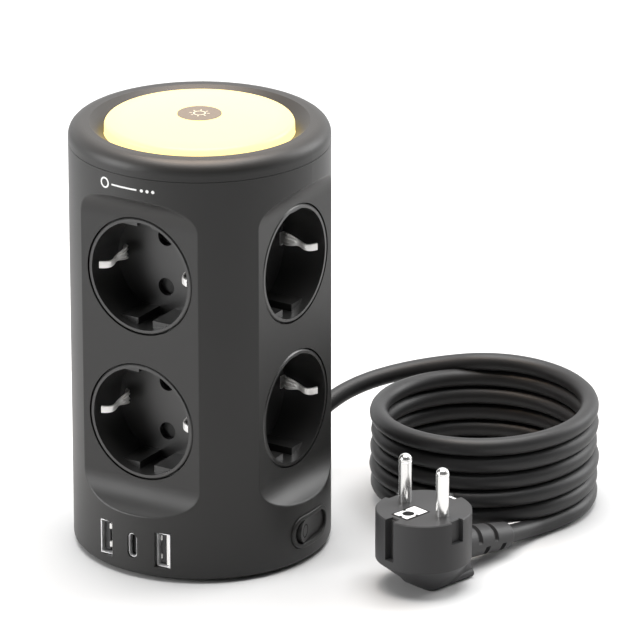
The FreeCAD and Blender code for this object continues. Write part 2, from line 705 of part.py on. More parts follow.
def foot_spots():
    """The four places of the feet, on the X and Y axes."""
    return [("foot_circle", "0"), ("0", "foot_circle"), ("-foot_circle", "0"), ("0", "-foot_circle")]


def base_plate():
    """The plate that closes the body from below, with seats for feet and screws."""
    disc = rod("base_disc", "body_radius - wall - base_gap", "base_thick", ("0", "0", PLATE_LOW))
    holes = []
    for index, (x, y) in enumerate(diagonals("screw_circle")):
        holes.append(rod(f"base_screw_hole_{index}", "screw_radius + screw_gap", "base_thick",
                         (x, y, PLATE_LOW)))
        holes.append(rod(f"base_screw_seat_{index}", "screw_head_radius + screw_gap",
                         "screw_head", (x, y, PLATE_LOW)))
    for index, (x, y) in enumerate(foot_spots()):
        holes.append(rod(f"base_foot_seat_{index}", "foot_radius", "foot_recess",
                         (x, y, PLATE_LOW)))
    return keep(cut("base_plate", disc, holes))


def rubber_feet():
    """Four round feet, seated in the base plate."""
    feet = [
        rod(f"foot_{index}", "foot_radius - screw_gap",
            "foot_height + base_inset + foot_recess", (x, y, "0"))
        for index, (x, y) in enumerate(foot_spots())
    ]
    return keep(group("rubber_feet", feet))


def base_screws():
    """Four screws from below, with cross slots in their heads."""
    screws = []
    cross_half = 1.8
    cross_width = 0.35
    cross_depth = 0.8
    for index, (x, y) in enumerate(diagonals("screw_circle")):
        head = rod(f"screw_head_{index}", "screw_head_radius", "screw_head", (x, y, PLATE_LOW))
        shank = rod(f"screw_shank_{index}", "screw_radius", "screw_length",
                    (x, y, f"{PLATE_LOW} + screw_head"))
        body = fuse(f"screw_body_{index}", [head, shank])
        slots = [
            block(f"screw_slot_{index}_{name}",
                  (f"{x} - {a}", f"{y} - {b}", PLATE_LOW),
                  (f"{x} + {a}", f"{y} + {b}", f"{PLATE_LOW} + {cross_depth}"))
            for name, a, b in (("x", cross_half, cross_width), ("y", cross_width, cross_half))
        ]
        screws.append(cut(f"screw_{index}", body, slots))
    return keep(group("base_screws", screws))


# ---------------------------------------------------------------- sockets


def socket_well(label, face, height):
    """One socket insert: a cup with a flange, guide blocks, pin holes and earth slots."""
    back_edge = f"max({WELL_OUTER} - {WELL_BACK} + well_corner_gap; well_back_chamfer)"
    flange_back = "panel_distance - wall - well_flange_thick"
    cup = [
        cone(f"{label}_back", f"{WELL_OUTER} - {back_edge}", WELL_OUTER, back_edge,
             ("0", height, WELL_BACK)),
        rod(f"{label}_cup", WELL_OUTER,
            f"panel_distance - well_rim_chamfer - ({WELL_BACK} + {back_edge})",
            ("0", height, f"{WELL_BACK} + {back_edge}")),
        cone(f"{label}_rim", WELL_OUTER, f"{WELL_OUTER} - well_rim_chamfer", "well_rim_chamfer",
             ("0", height, "panel_distance - well_rim_chamfer")),
        rod(f"{label}_flange", f"{WELL_OUTER} + well_flange", "well_flange_thick",
            ("0", height, flange_back)),
    ]
    outside = fuse(f"{label}_outside", cup)
    room = rod(f"{label}_room", "well_radius", "well_depth + wall",
               ("0", height, "panel_distance - well_depth"))
    guides = []
    for side, sign in (("upper", 1), ("lower", -1)):
        near = f"{height} + ({sign}) * guide_flat"
        far = f"{height} + ({sign}) * {WELL_OUTER}"
        low_y, high_y = (near, far) if sign > 0 else (far, near)
        for hand, start, end in (("a", f"-{WELL_OUTER}", "-guide_notch / 2"),
                                 ("b", "guide_notch / 2", WELL_OUTER)):
            guides.append(block(f"{label}_guide_{side}_{hand}",
                                (start, low_y, "panel_distance - well_depth"),
                                (end, high_y, "panel_distance - guide_depth")))
    inside = cut(f"{label}_inside", room, guides)
    holes = [
        rod(f"{label}_pin_hole_{side}", "pin_hole_radius", "well_floor * 3",
            ("0", f"{height} {sign} pin_pitch / 2", f"{WELL_BACK} - well_floor"))
        for side, sign in (("upper", "+"), ("lower", "-"))
    ]
    for side, sign in (("a", "1"), ("b", "-1")):
        middle = f"({sign} * arm_reach)"
        half = "(strip_thick / 2 + strip_gap)"
        holes.append(block(
            f"{label}_earth_slot_{side}",
            (f"{middle} - {half}", f"{height} - strip_width / 2 - strip_gap",
             f"{WELL_BACK} - well_floor"),
            (f"{middle} + {half}", f"{height} + strip_width / 2 + strip_gap",
             f"{WELL_BACK} + well_floor * 2"),
        ))
    return keep(cut(label, outside, [inside] + holes), facing(FACE_ANGLES[face]))


def earth_clip(label, face, height):
    """One earth contact: a strip behind the well whose two arms spring into it."""
    mouth = number("panel_distance")
    thick = number("strip_thick")
    behind = number(f"{WELL_BACK} - strip_gap - strip_thick / 2")
    arm = number("arm_reach")
    tab = number("tab_reach")
    knuckle = number("knuckle_reach")
    tab_end = mouth - number("tab_depth")
    tab_start = tab_end - number("tab_length")
    knuckle_at = mouth - number("knuckle_depth")
    arm_at = mouth - number("arm_depth")
    half = [(arm, behind), (arm, arm_at), (knuckle, knuckle_at), (tab, tab_start), (tab, tab_end)]
    width = number("strip_width")
    low = number(height) - width / 2
    outline = [Vector(-x, low, z) for x, z in reversed(half)]
    outline += [Vector(x, low, z) for x, z in half]
    line = Part.makePolygon(outline)
    band = line.makeOffset2D(thick / 2, 2, False, False, False)
    face_shape = Part.Face(band)
    solid = face_shape.extrude(Vector(0, width, 0))
    return keep(shaped(label, solid, turn=facing(FACE_ANGLES[face])))


SHUTTER_FRONT = "(panel_distance - well_depth - well_floor - strip_gap - strip_thick - shutter_gap)"


def shutter(label, face, height):
    """One safety shutter: a plate with two sloped pads that close the pin holes."""
    half_high = "pin_pitch / 2 + shutter_end"
    plate_solid = block(
        f"{label}_plate",
        ("-shutter_half_width", f"{height} - ({half_high})", f"{SHUTTER_FRONT} - shutter_thick"),
        ("shutter_half_width", f"{height} + ({half_high})", SHUTTER_FRONT),
    )
    pads = []
    for side, sign in (("upper", "+"), ("lower", "-")):
        pad = doc.addObject("Part::Wedge", f"{label}_pad_{side}")
        link(pad, Xmin="0", Xmax="shutter_half_width * 2 - shutter_gap * 2", X2min="0",
             X2max="shutter_half_width", Ymin="0", Ymax="shutter_pad",
             Zmin="0", Zmax="shutter_end * 1.5", Z2min="0", Z2max="shutter_end * 1.5")
        turn = Rotation(Vector(1, 0, 0), 90)
        put(pad, ("-shutter_half_width + shutter_gap",
                  f"{height} {sign} pin_pitch / 2 + shutter_end * 0.75", SHUTTER_FRONT), turn)
        pads.append(pad)
    return keep(fuse(label, [plate_solid] + pads), facing(FACE_ANGLES[face]))


def shutter_spring(label, face, height):
    """One bowed leaf spring between a shutter and its stop on the core."""
    middle = "shutter_half_width + spring_radius + shutter_gap"
    low = f"{SHUTTER_FRONT} - shutter_thick + shutter_gap"
    thick = "shutter_thick - shutter_gap * 2"
    bow = rod(f"{label}_bow", "spring_radius", thick, (middle, height, low))
    inner = rod(f"{label}_inner", "spring_radius - spring_strip", thick, (middle, height, low))
    lower = block(f"{label}_lower", (f"{middle} - spring_radius * 2", f"{height} - spring_radius * 2", low),
                  (f"{middle} + spring_radius * 2", height, f"{low} + {thick}"))
    item = cut(label, bow, [inner, lower])
    item.Placement = Placement(Vector(), facing(FACE_ANGLES[face]))
    return item


def each_socket():
    """The eight sockets in order: number, face and the name of their height."""
    number_of = 0
    for level in ("socket_low", "socket_high"):
        for face in FACES:
            number_of += 1
            yield number_of, face, level


# ---------------------------------------------------------------- contacts
PIN_LEVELS = {
    "neutral_low": "(socket_low - pin_pitch / 2)",
    "live_low": "(socket_low + pin_pitch / 2)",
    "neutral_high": "(socket_high - pin_pitch / 2)",
    "live_high": "(socket_high + pin_pitch / 2)",
}


def contact_core():
    """The insulating core: walls, shelves under each contact ring, posts, rails and stops."""
    outer = block("core_outer", ("-core_half", "-core_half", "core_low"),
                  ("core_half", "core_half", "core_high"))
    inner_half = "(core_half - core_wall)"
    inner = block("core_inner", (f"-{inner_half}", f"-{inner_half}", "core_low"),
                  (inner_half, inner_half, "core_high"))
    walls = cut("core_walls", outer, [inner])
    solids = [walls]
    for name, level in PIN_LEVELS.items():
        top = f"{level} - ring_down"
        solids.append(block(f"core_shelf_{name}",
                            (f"-{inner_half}", f"-{inner_half}", f"{top} - core_wall"),
                            (inner_half, inner_half, top)))
    post_foot = PLATE_TOP
    post_head = "body_height - deck"
    for index, (x, y) in enumerate(((1, 1), (-1, 1), (-1, -1), (1, -1))):
        edges_x = sorted([("core_half", 1), ("core_half - core_post", 0)], key=lambda e: e[1] * x)
        edges_y = sorted([("core_half", 1), ("core_half - core_post", 0)], key=lambda e: e[1] * y)
        low = (f"{x} * ({edges_x[0][0]})", f"{y} * ({edges_y[0][0]})", post_foot)
        high = (f"{x} * ({edges_x[1][0]})", f"{y} * ({edges_y[1][0]})", post_head)
        solids.append(block(f"core_post_{index}", low, high))
    frame = fuse("core_frame", solids)
    tools = []
    for name, level in PIN_LEVELS.items():
        for along in ("X", "Y"):
            start = ("-core_half - wall", "0", level) if along == "X" else ("0", "-core_half - wall", level)
            tools.append(rod(f"core_sleeve_hole_{name}_{along}", "sleeve_radius + sleeve_gap",
                             "core_half * 2 + wall * 2", start, along))
    for name, sign in (("live", ""), ("neutral", "-")):
        tools.append(rod(f"core_riser_hole_{name}", "riser_radius + sleeve_gap", "core_high",
                         (f"{sign}riser_offset", f"{sign}riser_offset", "riser_low")))
    bored = cut("core_bored", frame, tools)
    rails = []
    for index, face, height in each_socket():
        half_high = "(pin_pitch / 2 + shutter_end + shutter_gap)"
        parts = []
        for side, sign in (("upper", 1), ("lower", -1)):
            near = f"{height} + ({sign}) * {half_high}"
            far = f"{height} + ({sign}) * ({half_high} + rail_width)"
            low_y, high_y = (near, far) if sign > 0 else (far, near)
            parts.append(block(f"core_rail_{index}_{side}",
                               ("-shutter_half_width", low_y, "core_half - core_wall / 2"),
                               ("shutter_half_width + shutter_travel", high_y, SHUTTER_FRONT)))
        stop = "shutter_half_width + shutter_gap * 2 + spring_radius * 2"
        parts.append(block(f"core_stop_{index}",
                           (stop, f"{height} - spring_radius", "core_half - core_wall / 2"),
                           (f"{stop} + rail_width", f"{height} + spring_radius", SHUTTER_FRONT)))
        rail = fuse(f"core_rails_{index}", parts)
        rail.Placement = Placement(Vector(), facing(FACE_ANGLES[face]))
        rails.append(rail)
    return keep(fuse("contact_core", [bored] + rails))


def contact_bus(label, pole, sign):
    """One pole's contacts: a ring with four sleeves at two levels, joined by a riser."""
    solids = []
    bores = []
    reach = "core_half - sleeve_gap"
    levels = [level for name, level in PIN_LEVELS.items() if name.startswith(pole)]
    corner = f"({sign}riser_offset)"
    for index, level in enumerate(levels):
        solids.append(rod(f"{label}_ring_{index}", "ring_radius", "ring_down + ring_up",
                          ("0", "0", f"{level} - ring_down")))
        for along in ("X", "Y"):
            start = [f"-({reach})" if along == letter else "0" for letter in "XY"] + [level]
            solids.append(rod(f"{label}_sleeve_{index}_{along}", "sleeve_radius",
                              f"2 * ({reach})", start, along))
            bores.append(rod(f"{label}_bore_{index}_{along}", "pin_radius + sleeve_bore_gap",
                             f"2 * ({reach})", start, along))
        bores.append(rod(f"{label}_middle_{index}", "ring_bore", "ring_down + ring_up",
                         ("0", "0", f"{level} - ring_down")))
        arm = block(f"{label}_arm_{index}",
                    ("ring_bore + riser_radius / 2", "-riser_radius", f"{level} - riser_radius"),
                    (f"riser_offset * {math.sqrt(2):.6f}", "riser_radius",
                     f"{level} + riser_radius"))
        arm_turned = group(f"{label}_arm_turned_{index}", [arm])
        arm_turned.Placement = Placement(Vector(), Rotation(Vector(0, 0, 1), 225 if sign else 45))
        solids.append(arm_turned)
    solids.append(rod(f"{label}_riser", "riser_radius", f"{levels[-1]} + riser_radius - riser_low",
                      (corner, corner, "riser_low")))
    return keep(cut(label, fuse(f"{label}_whole", solids), bores))


def earth_bus():
    """The earth strips: one up each face, joined by a square frame between the sockets."""
    outer = f"({WELL_BACK} - strip_gap - strip_thick)"
    inner = f"({outer} - strip_thick)"
    middle = "((socket_low + socket_high) / 2)"
    frame = cut("earth_frame", block(
        "earth_frame_outer", (f"-{outer}", f"-{outer}", f"{middle} - strip_width / 2"),
        (outer, outer, f"{middle} + strip_width / 2")), [block(
            "earth_frame_inner", (f"-{inner}", f"-{inner}", f"{middle} - strip_width / 2"),
            (inner, inner, f"{middle} + strip_width / 2"))])
    strips = []
    for face in FACES:
        strip = block(f"earth_strip_{face}",
                      ("-arm_reach + strip_thick", "socket_low - strip_width / 2", inner),
                      ("-arm_reach + strip_thick + strip_width * 0.6",
                       "socket_high + strip_width / 2", outer))
        turned_strip = group(f"earth_strip_{face}_turned", [strip])
        turned_strip.Placement = Placement(Vector(), facing(FACE_ANGLES[face]))
        strips.append(turned_strip)
    return keep(fuse("earth_bus", [frame] + strips))


# ---------------------------------------------------------------- ports
def usb_parts():
    """The three ports: metal shells, plastic tongues and the board that they stand on."""
    keep(block("usb_board", ("-usb_board_width / 2", "-usb_board_face", PLATE_TOP),
               ("usb_board_width / 2", "-usb_board_face + board_thick", "usb_board_top")))
    tongues = {}
    for port, (shift, half_long, half_short, front) in USB_PORTS.items():
        outer = port_bar(f"usb_{port}_outer", port, "0", "usb_board_face", front)
        inner = port_bar(f"usb_{port}_inner", port, "-usb_wall", "usb_board_face + usb_wall",
                         f"{front} + wall")
        name = "usb_c_shell" if port == "middle" else f"usb_a_shell_{port}"
        keep(cut(name, outer, [inner]))
        thick = "tongue_c_thick" if port == "middle" else "tongue_a_thick"
        side = "0" if port == "middle" else "usb_wall - usb_a_short / 2 + tongue_a_thick / 2 + usb_gap * 3"
        tongues[port] = block(
            f"usb_{port}_tongue",
            (f"{shift} + {side} - {thick} / 2", f"-({front} - tongue_inset)",
             f"usb_height - {half_long} + usb_wall * 3"),
            (f"{shift} + {side} + {thick} / 2", "-(usb_board_face + usb_wall)",
             f"usb_height + {half_long} - usb_wall * 3"),
        )
    keep(group("usb_a_tongues", [tongues["left"], tongues["right"]]))
    tongues["middle"].Label = "usb_c_tongue"
    keep(tongues["middle"])


# ---------------------------------------------------------------- switch
def switch_parts():
    """The rocker switch: an oval case, a dished rocker tipped to one side, and its pin."""
    half_long = "switch_long / 2"
    half_short = "switch_short / 2"
    case = switch_bar("switch_outer", half_long, half_short, "switch_back", "switch_front")
    room = switch_bar("switch_room", f"{half_long} - switch_rim", f"{half_short} - switch_rim",
                      "switch_back + switch_floor", "switch_front + wall")
    pin_length = "(switch_short - switch_rim)"
    pin_low = f"switch_height - {pin_length} / 2"
    pin_hole = rod("switch_pin_hole", "rocker_pin + strip_gap / 10", pin_length,
                   ("rocker_pivot", "0", pin_low))
    keep(cut("switch_case", case, [room, pin_hole]))
    keep(rod("switch_pin", "rocker_pin", pin_length, ("rocker_pivot", "0", pin_low)))
    bar = switch_bar("rocker_bar", "rocker_long / 2", "rocker_short / 2", "rocker_back",
                     "rocker_front")
    dish = rod("rocker_hollow", "rocker_dish", "switch_short",
               ("rocker_front + rocker_dish - switch_rim / 3", "0",
                "switch_height - switch_short / 2"))
    bore = rod("rocker_bore", "rocker_pin + rocker_pin_gap", "switch_short",
               ("rocker_pivot", "0", "switch_height - switch_short / 2"))
    rocker = cut("switch_rocker", bar, [dish, bore])
    doc.recompute()
    pivot = Vector(number("rocker_pivot"), 0, 0)
    turn = Rotation(Vector(0, 0, 1), number("rocker_tilt"))
    rocker.Placement = Placement(pivot - turn.multVec(pivot), turn)
    keep(rocker)


def switch_opening():
    """The oval hole for the switch in the body's wall."""
    return switch_bar("shell_switch_hole", "switch_long / 2 + switch_gap",
                      "switch_short / 2 + switch_gap", "switch_back", "switch_front + wall")


# ---------------------------------------------------------------- mains lead
def gland_opening():
    """The round hole for the lead's gland in the body's back."""
    return rod("shell_gland_hole", "gland_neck + gland_gap", "wall * 4",
               ("0", "body_radius - wall * 3", "gland_height"), "Y")


def lead_exit():
    """Where the lead leaves the gland's taper, and the direction it leaves in."""
    root = Vector(0, number("body_radius"), number("gland_height"))
    tip = LEAD_ROUTE[0]
    return root, tip - root


LEAD_ROUTE = [
    Vector(2.0, 67.0, 20.0),
    Vector(5.4, 79.8, 26.3),
    Vector(11.5, 93.0, 30.5),
    Vector(22.0, 104.5, 33.6),
    Vector(36.2, 112.3, 36.9),
    Vector(51.5, 116.2, 40.1),
]
TAIL_ROUTE = [
    Vector(108.2, 67.8, 3.4),
    Vector(105.7, 59.6, 3.7),
    Vector(104.6, 51.1, 5.0),
    Vector(104.1, 42.9, 6.7),
]


def cord_gland():
    """The rubber gland: flange inside, neck in the wall, collar outside and a long taper."""
    height = "gland_height"
    inner_face = "body_radius - wall - gland_gap * 8"
    outer_face = "body_radius + gland_gap"
    solids = [
        rod("gland_flange_disc", "gland_flange", "gland_flange_thick",
            ("0", f"{inner_face} - gland_flange_thick", height), "Y"),
        rod("gland_neck_bar", "gland_neck", f"{outer_face} - ({inner_face})",
            ("0", inner_face, height), "Y"),
        rod("gland_collar_disc", "gland_collar", "gland_collar_thick",
            ("0", outer_face, height), "Y"),
    ]
    root, way = lead_exit()
    taper = doc.addObject("Part::Cone", "gland_taper")
    link(taper, Radius1="gland_root", Radius2="gland_tip")
    taper.Height = way.Length
    taper.Placement = Placement(root, Rotation(Vector(0, 0, 1), way))
    return keep(fuse("cord_gland", solids + [taper]))


def cord_parts():
    """The lead's plain solids: the rise to the coil, the coil, and the run to the plug."""
    radius = number("cord_radius")
    keep(shaped("cord_lead", tube(LEAD_ROUTE, radius, "cord_lead")))
    keep(shaped("cord_tail", tube(TAIL_ROUTE, radius, "cord_tail")))
    height = "coil_height"
    outer = "(coil_radius + cord_radius)"
    inner = "(coil_radius - cord_radius)"
    points = [
        (f"{inner} + coil_round", "0"),
        (f"{outer} - coil_round", "0", "coil_round"),
        (outer, "coil_round"),
        (outer, f"{height} - coil_round", "coil_round"),
        (f"{outer} - coil_round", height),
        (f"{inner} + coil_round", height, "coil_round"),
        (inner, f"{height} - coil_round"),
        (inner, "coil_round", "coil_round"),
    ]
    coil = turned("cord_coil", points)
    put(coil, ("coil_x", "coil_y", "0"))
    keep(coil)


# ---------------------------------------------------------------- plug
def place_plug(item):
    """Puts a piece of the plug, made round the origin with its lead along +Y, in its place."""
    item.Placement = Placement(Vector(), Rotation(Vector(0, 0, 1), number("plug_turn") - 90))
    item.setExpression("Placement.Base.x", "Sizes.plug_x")
    item.setExpression("Placement.Base.y", "Sizes.plug_y")
    return keep(item)


def plug_parts():
    """The plug: body on its heel, two pins, earth strips, the earth socket and the boot."""
    face = "plug_height"
    outside = fuse("plug_outside", [
        rod("plug_round", "plug_radius", f"{face} - plug_skirt", ("0", "0", "plug_skirt")),
        cone("plug_narrow", "plug_heel_radius", "plug_radius", "plug_skirt - bottom_round",
             ("0", "0", "bottom_round")),
        block("plug_heel_bar", ("-plug_heel / 2", "-plug_heel_front", "0"),
              ("plug_heel / 2", "plug_heel_back", "plug_skirt + bottom_round")),
    ])
    tools = []
    for side, sign in (("a", 1), ("b", -1)):
        edges = [f"{sign} * plug_guide", f"{sign} * (plug_radius + wall)"]
        low_x, high_x = edges if sign > 0 else edges[::-1]
        tools.append(block(f"plug_guide_{side}",
                           (low_x, "-plug_guide_width / 2", f"{face} - plug_guide_depth"),
                           (high_x, "plug_guide_width / 2", f"{face} + wall")))
        edges = [f"{sign} * (plug_radius - plug_slot_depth)", f"{sign} * (plug_radius + wall)"]
        low_y, high_y = edges if sign > 0 else edges[::-1]
        slot_low = "plug_slot_low" if sign < 0 else f"{face} - plug_slot_short"
        tools.append(block(f"plug_slot_{side}", ("-plug_slot / 2", low_y, slot_low),
                           ("plug_slot / 2", high_y, f"{face} + wall")))
        tools.append(rod(f"plug_pin_hole_{side}", "plug_pin_root + plug_pin_gap",
                         "plug_pin_seat + wall",
                         (f"{sign} * pin_pitch / 2", "0", f"{face} - plug_pin_seat")))
    tools.append(rod("plug_earth_bore", "earth_hole + earth_tube_wall + plug_pin_gap",
                     "earth_tube_depth + wall",
                     ("0", "-earth_hole_offset", f"{face} - earth_tube_depth")))
    tools.append(block("plug_earth_seat",
                       ("-earth_plate_short / 2", "-earth_plate_offset - earth_plate_long / 2",
                        f"{face} - earth_plate_thick"),
                       ("earth_plate_short / 2", "-earth_plate_offset + earth_plate_long / 2",
                        f"{face} + wall")))
    tools.append(boot_bar("plug_boot_seat", "plug_pin_gap", plain=True))
    place_plug(cut("plug_body", outside, tools))
    pins = []
    for side, sign in (("a", 1), ("b", -1)):
        at = (f"{sign} * pin_pitch / 2", "0")
        root = rod(f"plug_pin_root_{side}", "plug_pin_root", "plug_pin_seat",
                   at + (f"{face} - plug_pin_seat",))
        shank = rod(f"plug_pin_shank_{side}", "pin_radius", "plug_pin_length - plug_pin_tip",
                    at + (face,))
        tip = cone(f"plug_pin_tip_{side}", "pin_radius", "pin_radius - plug_pin_tip * 0.75",
                   "plug_pin_tip", at + (f"{face} + plug_pin_length - plug_pin_tip",))
        pins.append(fuse(f"plug_pin_{side}", [root, shank, tip]))
    place_plug(group("plug_pins", pins))
    strips = []
    for side, sign in (("a", 1), ("b", -1)):
        near = f"{sign} * (plug_radius - plug_slot_depth)"
        far = f"{sign} * (plug_radius - plug_slot_depth + strip_thick)"
        low_y, high_y = (near, far) if sign > 0 else (far, near)
        slot_low = "plug_slot_low" if sign < 0 else f"{face} - plug_slot_short"
        strips.append(block(f"plug_strip_{side}", ("-plug_strip / 2", low_y, slot_low),
                            ("plug_strip / 2", high_y, f"{face} - plug_pin_tip / 2")))
    place_plug(group("plug_earth_clips", strips))
    at = ("0", "-earth_hole_offset")
    socket = fuse("earth_socket_outer", [
        rod("earth_tube", "earth_hole + earth_tube_wall", "earth_tube_depth",
            at + (f"{face} - earth_tube_depth",)),
        block("earth_plate", ("-earth_plate_short / 2 + plug_pin_gap",
                              "-earth_plate_offset - earth_plate_long / 2 + plug_pin_gap",
                              f"{face} - earth_plate_thick"),
              ("earth_plate_short / 2 - plug_pin_gap",
               "-earth_plate_offset + earth_plate_long / 2 - plug_pin_gap", face)),
    ])
    bore = rod("earth_socket_bore", "earth_hole", "earth_tube_depth",
               at + (f"{face} - earth_tube_depth + earth_tube_wall",))
    place_plug(cut("plug_earth_socket", socket, [bore]))
    place_plug(boot_bar("plug_boot", "0", plain=False))


def boot_bar(label, grow, plain):
    """The boot along its sloped axis: a taper, with grooves round it unless it is plain."""
    taper = cone(f"{label}_taper", f"boot_root + {grow}", f"boot_tip + {grow}", "boot_length",
                 ("0", "0", "0"))
    grooves = []
    if not plain:
        for index in range(round(number("boot_grooves"))):
            at = f"(boot_groove_first + {index} * boot_groove_pitch)"
            outer = rod(f"{label}_groove_outer_{index}", "boot_root + wall", "boot_groove",
                        ("0", "0", at))
            inner = rod(f"{label}_groove_inner_{index}",
                        f"boot_root - (boot_root - boot_tip) * {at} / boot_length"
                        " - boot_groove_depth", "boot_groove", ("0", "0", at))
            grooves.append(cut(f"{label}_groove_{index}", outer, [inner]))
    item = cut(f"{label}_straight", taper, grooves) if grooves else taper
    sloped = group(f"{label}_sloped", [item])
    sloped.Placement = Placement(Vector(0, number("boot_start"), number("boot_root_height")),
                                 Rotation(Vector(1, 0, 0), -90 - number("boot_drop")))
    return group(label, [sloped])


# ---------------------------------------------------------------- inner wires
# Where each inner wire bends between its two ends.
WIRE_BENDS = {
    "live_in": [Vector(6.0, 29.1, 12.5), Vector(24.0, 18.0, 10.9), Vector(26.0, 3.0, 12.9)],
    "live_out": [Vector(24.0, -3.0, 12.9), Vector(11.0, 3.3, 17.0), Vector(10.0, 10.0, 20.7)],
    "neutral": [Vector(-7.0, 27.1, 12.5), Vector(-12.0, 5.0, 13.0), Vector(-10.0, -10.0, 19.7)],
    "earth": [Vector(1.2, 35.0, 18.0), Vector(12.0, 25.0, 26.5), Vector(15.7, 19.6, 37.0)],
}


def mains_wires():
    """Four insulated wires: live to the switch and on, neutral and earth to their contacts."""
    gap = number("wire_gap")
    gland = number("body_radius - wall - gland_gap * 8 - gland_flange_thick") - gap
    height = number("gland_height")
    riser = number("riser_offset")
    riser_end = number("riser_low") - gap
    switch = number("switch_back") - gap
    switch_z = number("switch_height")
    spread = number("gland_neck") / 2
    strip_x = number("arm_reach - strip_thick - strip_width * 0.3")
    strip_y = number(f"{WELL_BACK} - strip_gap - strip_thick * 1.5")
    strip_end = number("socket_low - strip_width / 2") - gap
    ends = {
        "live_in": (Vector(spread, gland, height), Vector(switch, spread, switch_z)),
        "live_out": (Vector(switch, -spread, switch_z), Vector(riser, riser, riser_end)),
        "neutral": (Vector(-spread, gland, height), Vector(-riser, -riser, riser_end)),
        "earth": (Vector(0, gland, height + spread), Vector(strip_x, strip_y, strip_end)),
    }
    radius = number("wire_radius")
    wires = []
    for name, (start, end) in ends.items():
        wires.append(tube([start, *WIRE_BENDS[name], end], radius, name))
    return keep(shaped("mains_wires", Part.Compound(wires)))


# ---------------------------------------------------------------- build
housing_shell()
top_ring()
lamp_lens()
touch_pad()
lamp_boards()
base_plate()
rubber_feet()
base_screws()
springs = []
for socket_number, socket_face, socket_level in each_socket():
    socket_well(f"socket_well_{socket_number}", socket_face, socket_level)
    earth_clip(f"earth_clip_{socket_number}", socket_face, socket_level)
    shutter(f"shutter_{socket_number}", socket_face, socket_level)
    springs.append(shutter_spring(f"shutter_spring_{socket_number}", socket_face, socket_level))
keep(group("shutter_springs", springs))
contact_core()
contact_bus("live_bus", "live", "")
contact_bus("neutral_bus", "neutral", "-")
earth_bus()
usb_parts()
switch_parts()
cord_gland()
cord_parts()
plug_parts()
mains_wires()
doc.recompute()

faults = [item.Label for item in doc.Objects if {"Invalid", "Error"} & set(item.State)]
for piece in PIECES:
    shape = piece.Shape
    if shape.isNull() or not shape.isValid() or not shape.Solids:
        faults.append(f"{piece.Label} has no sound solid")
if faults:
    raise SystemExit("Faults: " + ", ".join(faults))

os.makedirs("parts", exist_ok=True)
for piece in PIECES:
    piece.Shape.exportStep(os.path.join("parts", f"{piece.Label}.step"))
    print(f"{piece.Label}: {len(piece.Shape.Solids)} solid(s), {piece.Shape.Volume:.0f} mm3")
print(f"{len(PIECES)} pieces")
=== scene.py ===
"""Looks of a desk tower of sockets: body, lamp, ports, switch, mains lead and plug."""

import logging
import math
from dataclasses import dataclass, field
from enum import Enum
from typing import Any, Sequence

import bmesh
import bpy
import numpy as np
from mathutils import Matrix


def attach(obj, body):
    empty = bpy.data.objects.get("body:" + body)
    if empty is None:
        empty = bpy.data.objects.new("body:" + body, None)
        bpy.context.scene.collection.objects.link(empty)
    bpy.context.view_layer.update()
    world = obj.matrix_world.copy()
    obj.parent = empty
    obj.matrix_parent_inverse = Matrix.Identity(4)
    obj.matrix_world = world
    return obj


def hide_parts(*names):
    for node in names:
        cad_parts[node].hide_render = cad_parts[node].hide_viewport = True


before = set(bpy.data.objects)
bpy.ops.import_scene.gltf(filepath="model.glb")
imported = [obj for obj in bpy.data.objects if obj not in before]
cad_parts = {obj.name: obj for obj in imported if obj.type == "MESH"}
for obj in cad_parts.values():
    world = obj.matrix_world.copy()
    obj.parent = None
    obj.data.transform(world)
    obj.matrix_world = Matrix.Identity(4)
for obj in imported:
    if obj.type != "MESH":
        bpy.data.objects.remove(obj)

MM = 0.001
MERGE = 0.000004
LOG = logging.getLogger("tower")
Colour = tuple[float, float, float]


# ------------------------------------------------------------------ shader maths
class Signal:
    """A shader socket that takes part in sums; each operator adds one Math node."""

    def __init__(self, shader: "Shader", socket: bpy.types.NodeSocket) -> None:
        """Keeps the socket and the shader that it belongs to."""
        self.shader = shader
        self.socket = socket

    def _math(self, operation: str, *values: Any) -> "Signal":
        """Adds one Math node.

        Args:
            operation: The node's operation.
            values: Its inputs in order, numbers or signals.

        Returns:
            The node's result.
        """
        node = self.shader.node("ShaderNodeMath", {"operation": operation},
                                dict(enumerate(values)))
        return Signal(self.shader, node.outputs[0])

    def __add__(self, other: Any) -> "Signal":
        """Signal + other."""
        return self._math("ADD", self, other)

    def __radd__(self, other: Any) -> "Signal":
        """Other + signal."""
        return self._math("ADD", other, self)

    def __sub__(self, other: Any) -> "Signal":
        """Signal - other."""
        return self._math("SUBTRACT", self, other)

    def __rsub__(self, other: Any) -> "Signal":
        """Other - signal."""
        return self._math("SUBTRACT", other, self)

    def __mul__(self, other: Any) -> "Signal":
        """Signal * other."""
        return self._math("MULTIPLY", self, other)

    def __rmul__(self, other: Any) -> "Signal":
        """Other * signal."""
        return self._math("MULTIPLY", other, self)

    def __truediv__(self, other: Any) -> "Signal":
        """Signal / other."""
        return self._math("DIVIDE", self, other)

    def __gt__(self, other: Any) -> "Signal":
        """1 where the signal is above other, else 0."""
        return self._math("GREATER_THAN", self, other)

    def clipped(self) -> "Signal":
        """The signal held between 0 and 1."""
        return self._math("MINIMUM", self._math("MAXIMUM", self, 0.0), 1.0)

    def root(self) -> "Signal":
        """Square root."""
        return self._math("SQRT", self)

    def wave(self) -> "Signal":
        """Sine."""
        return self._math("SINE", self)


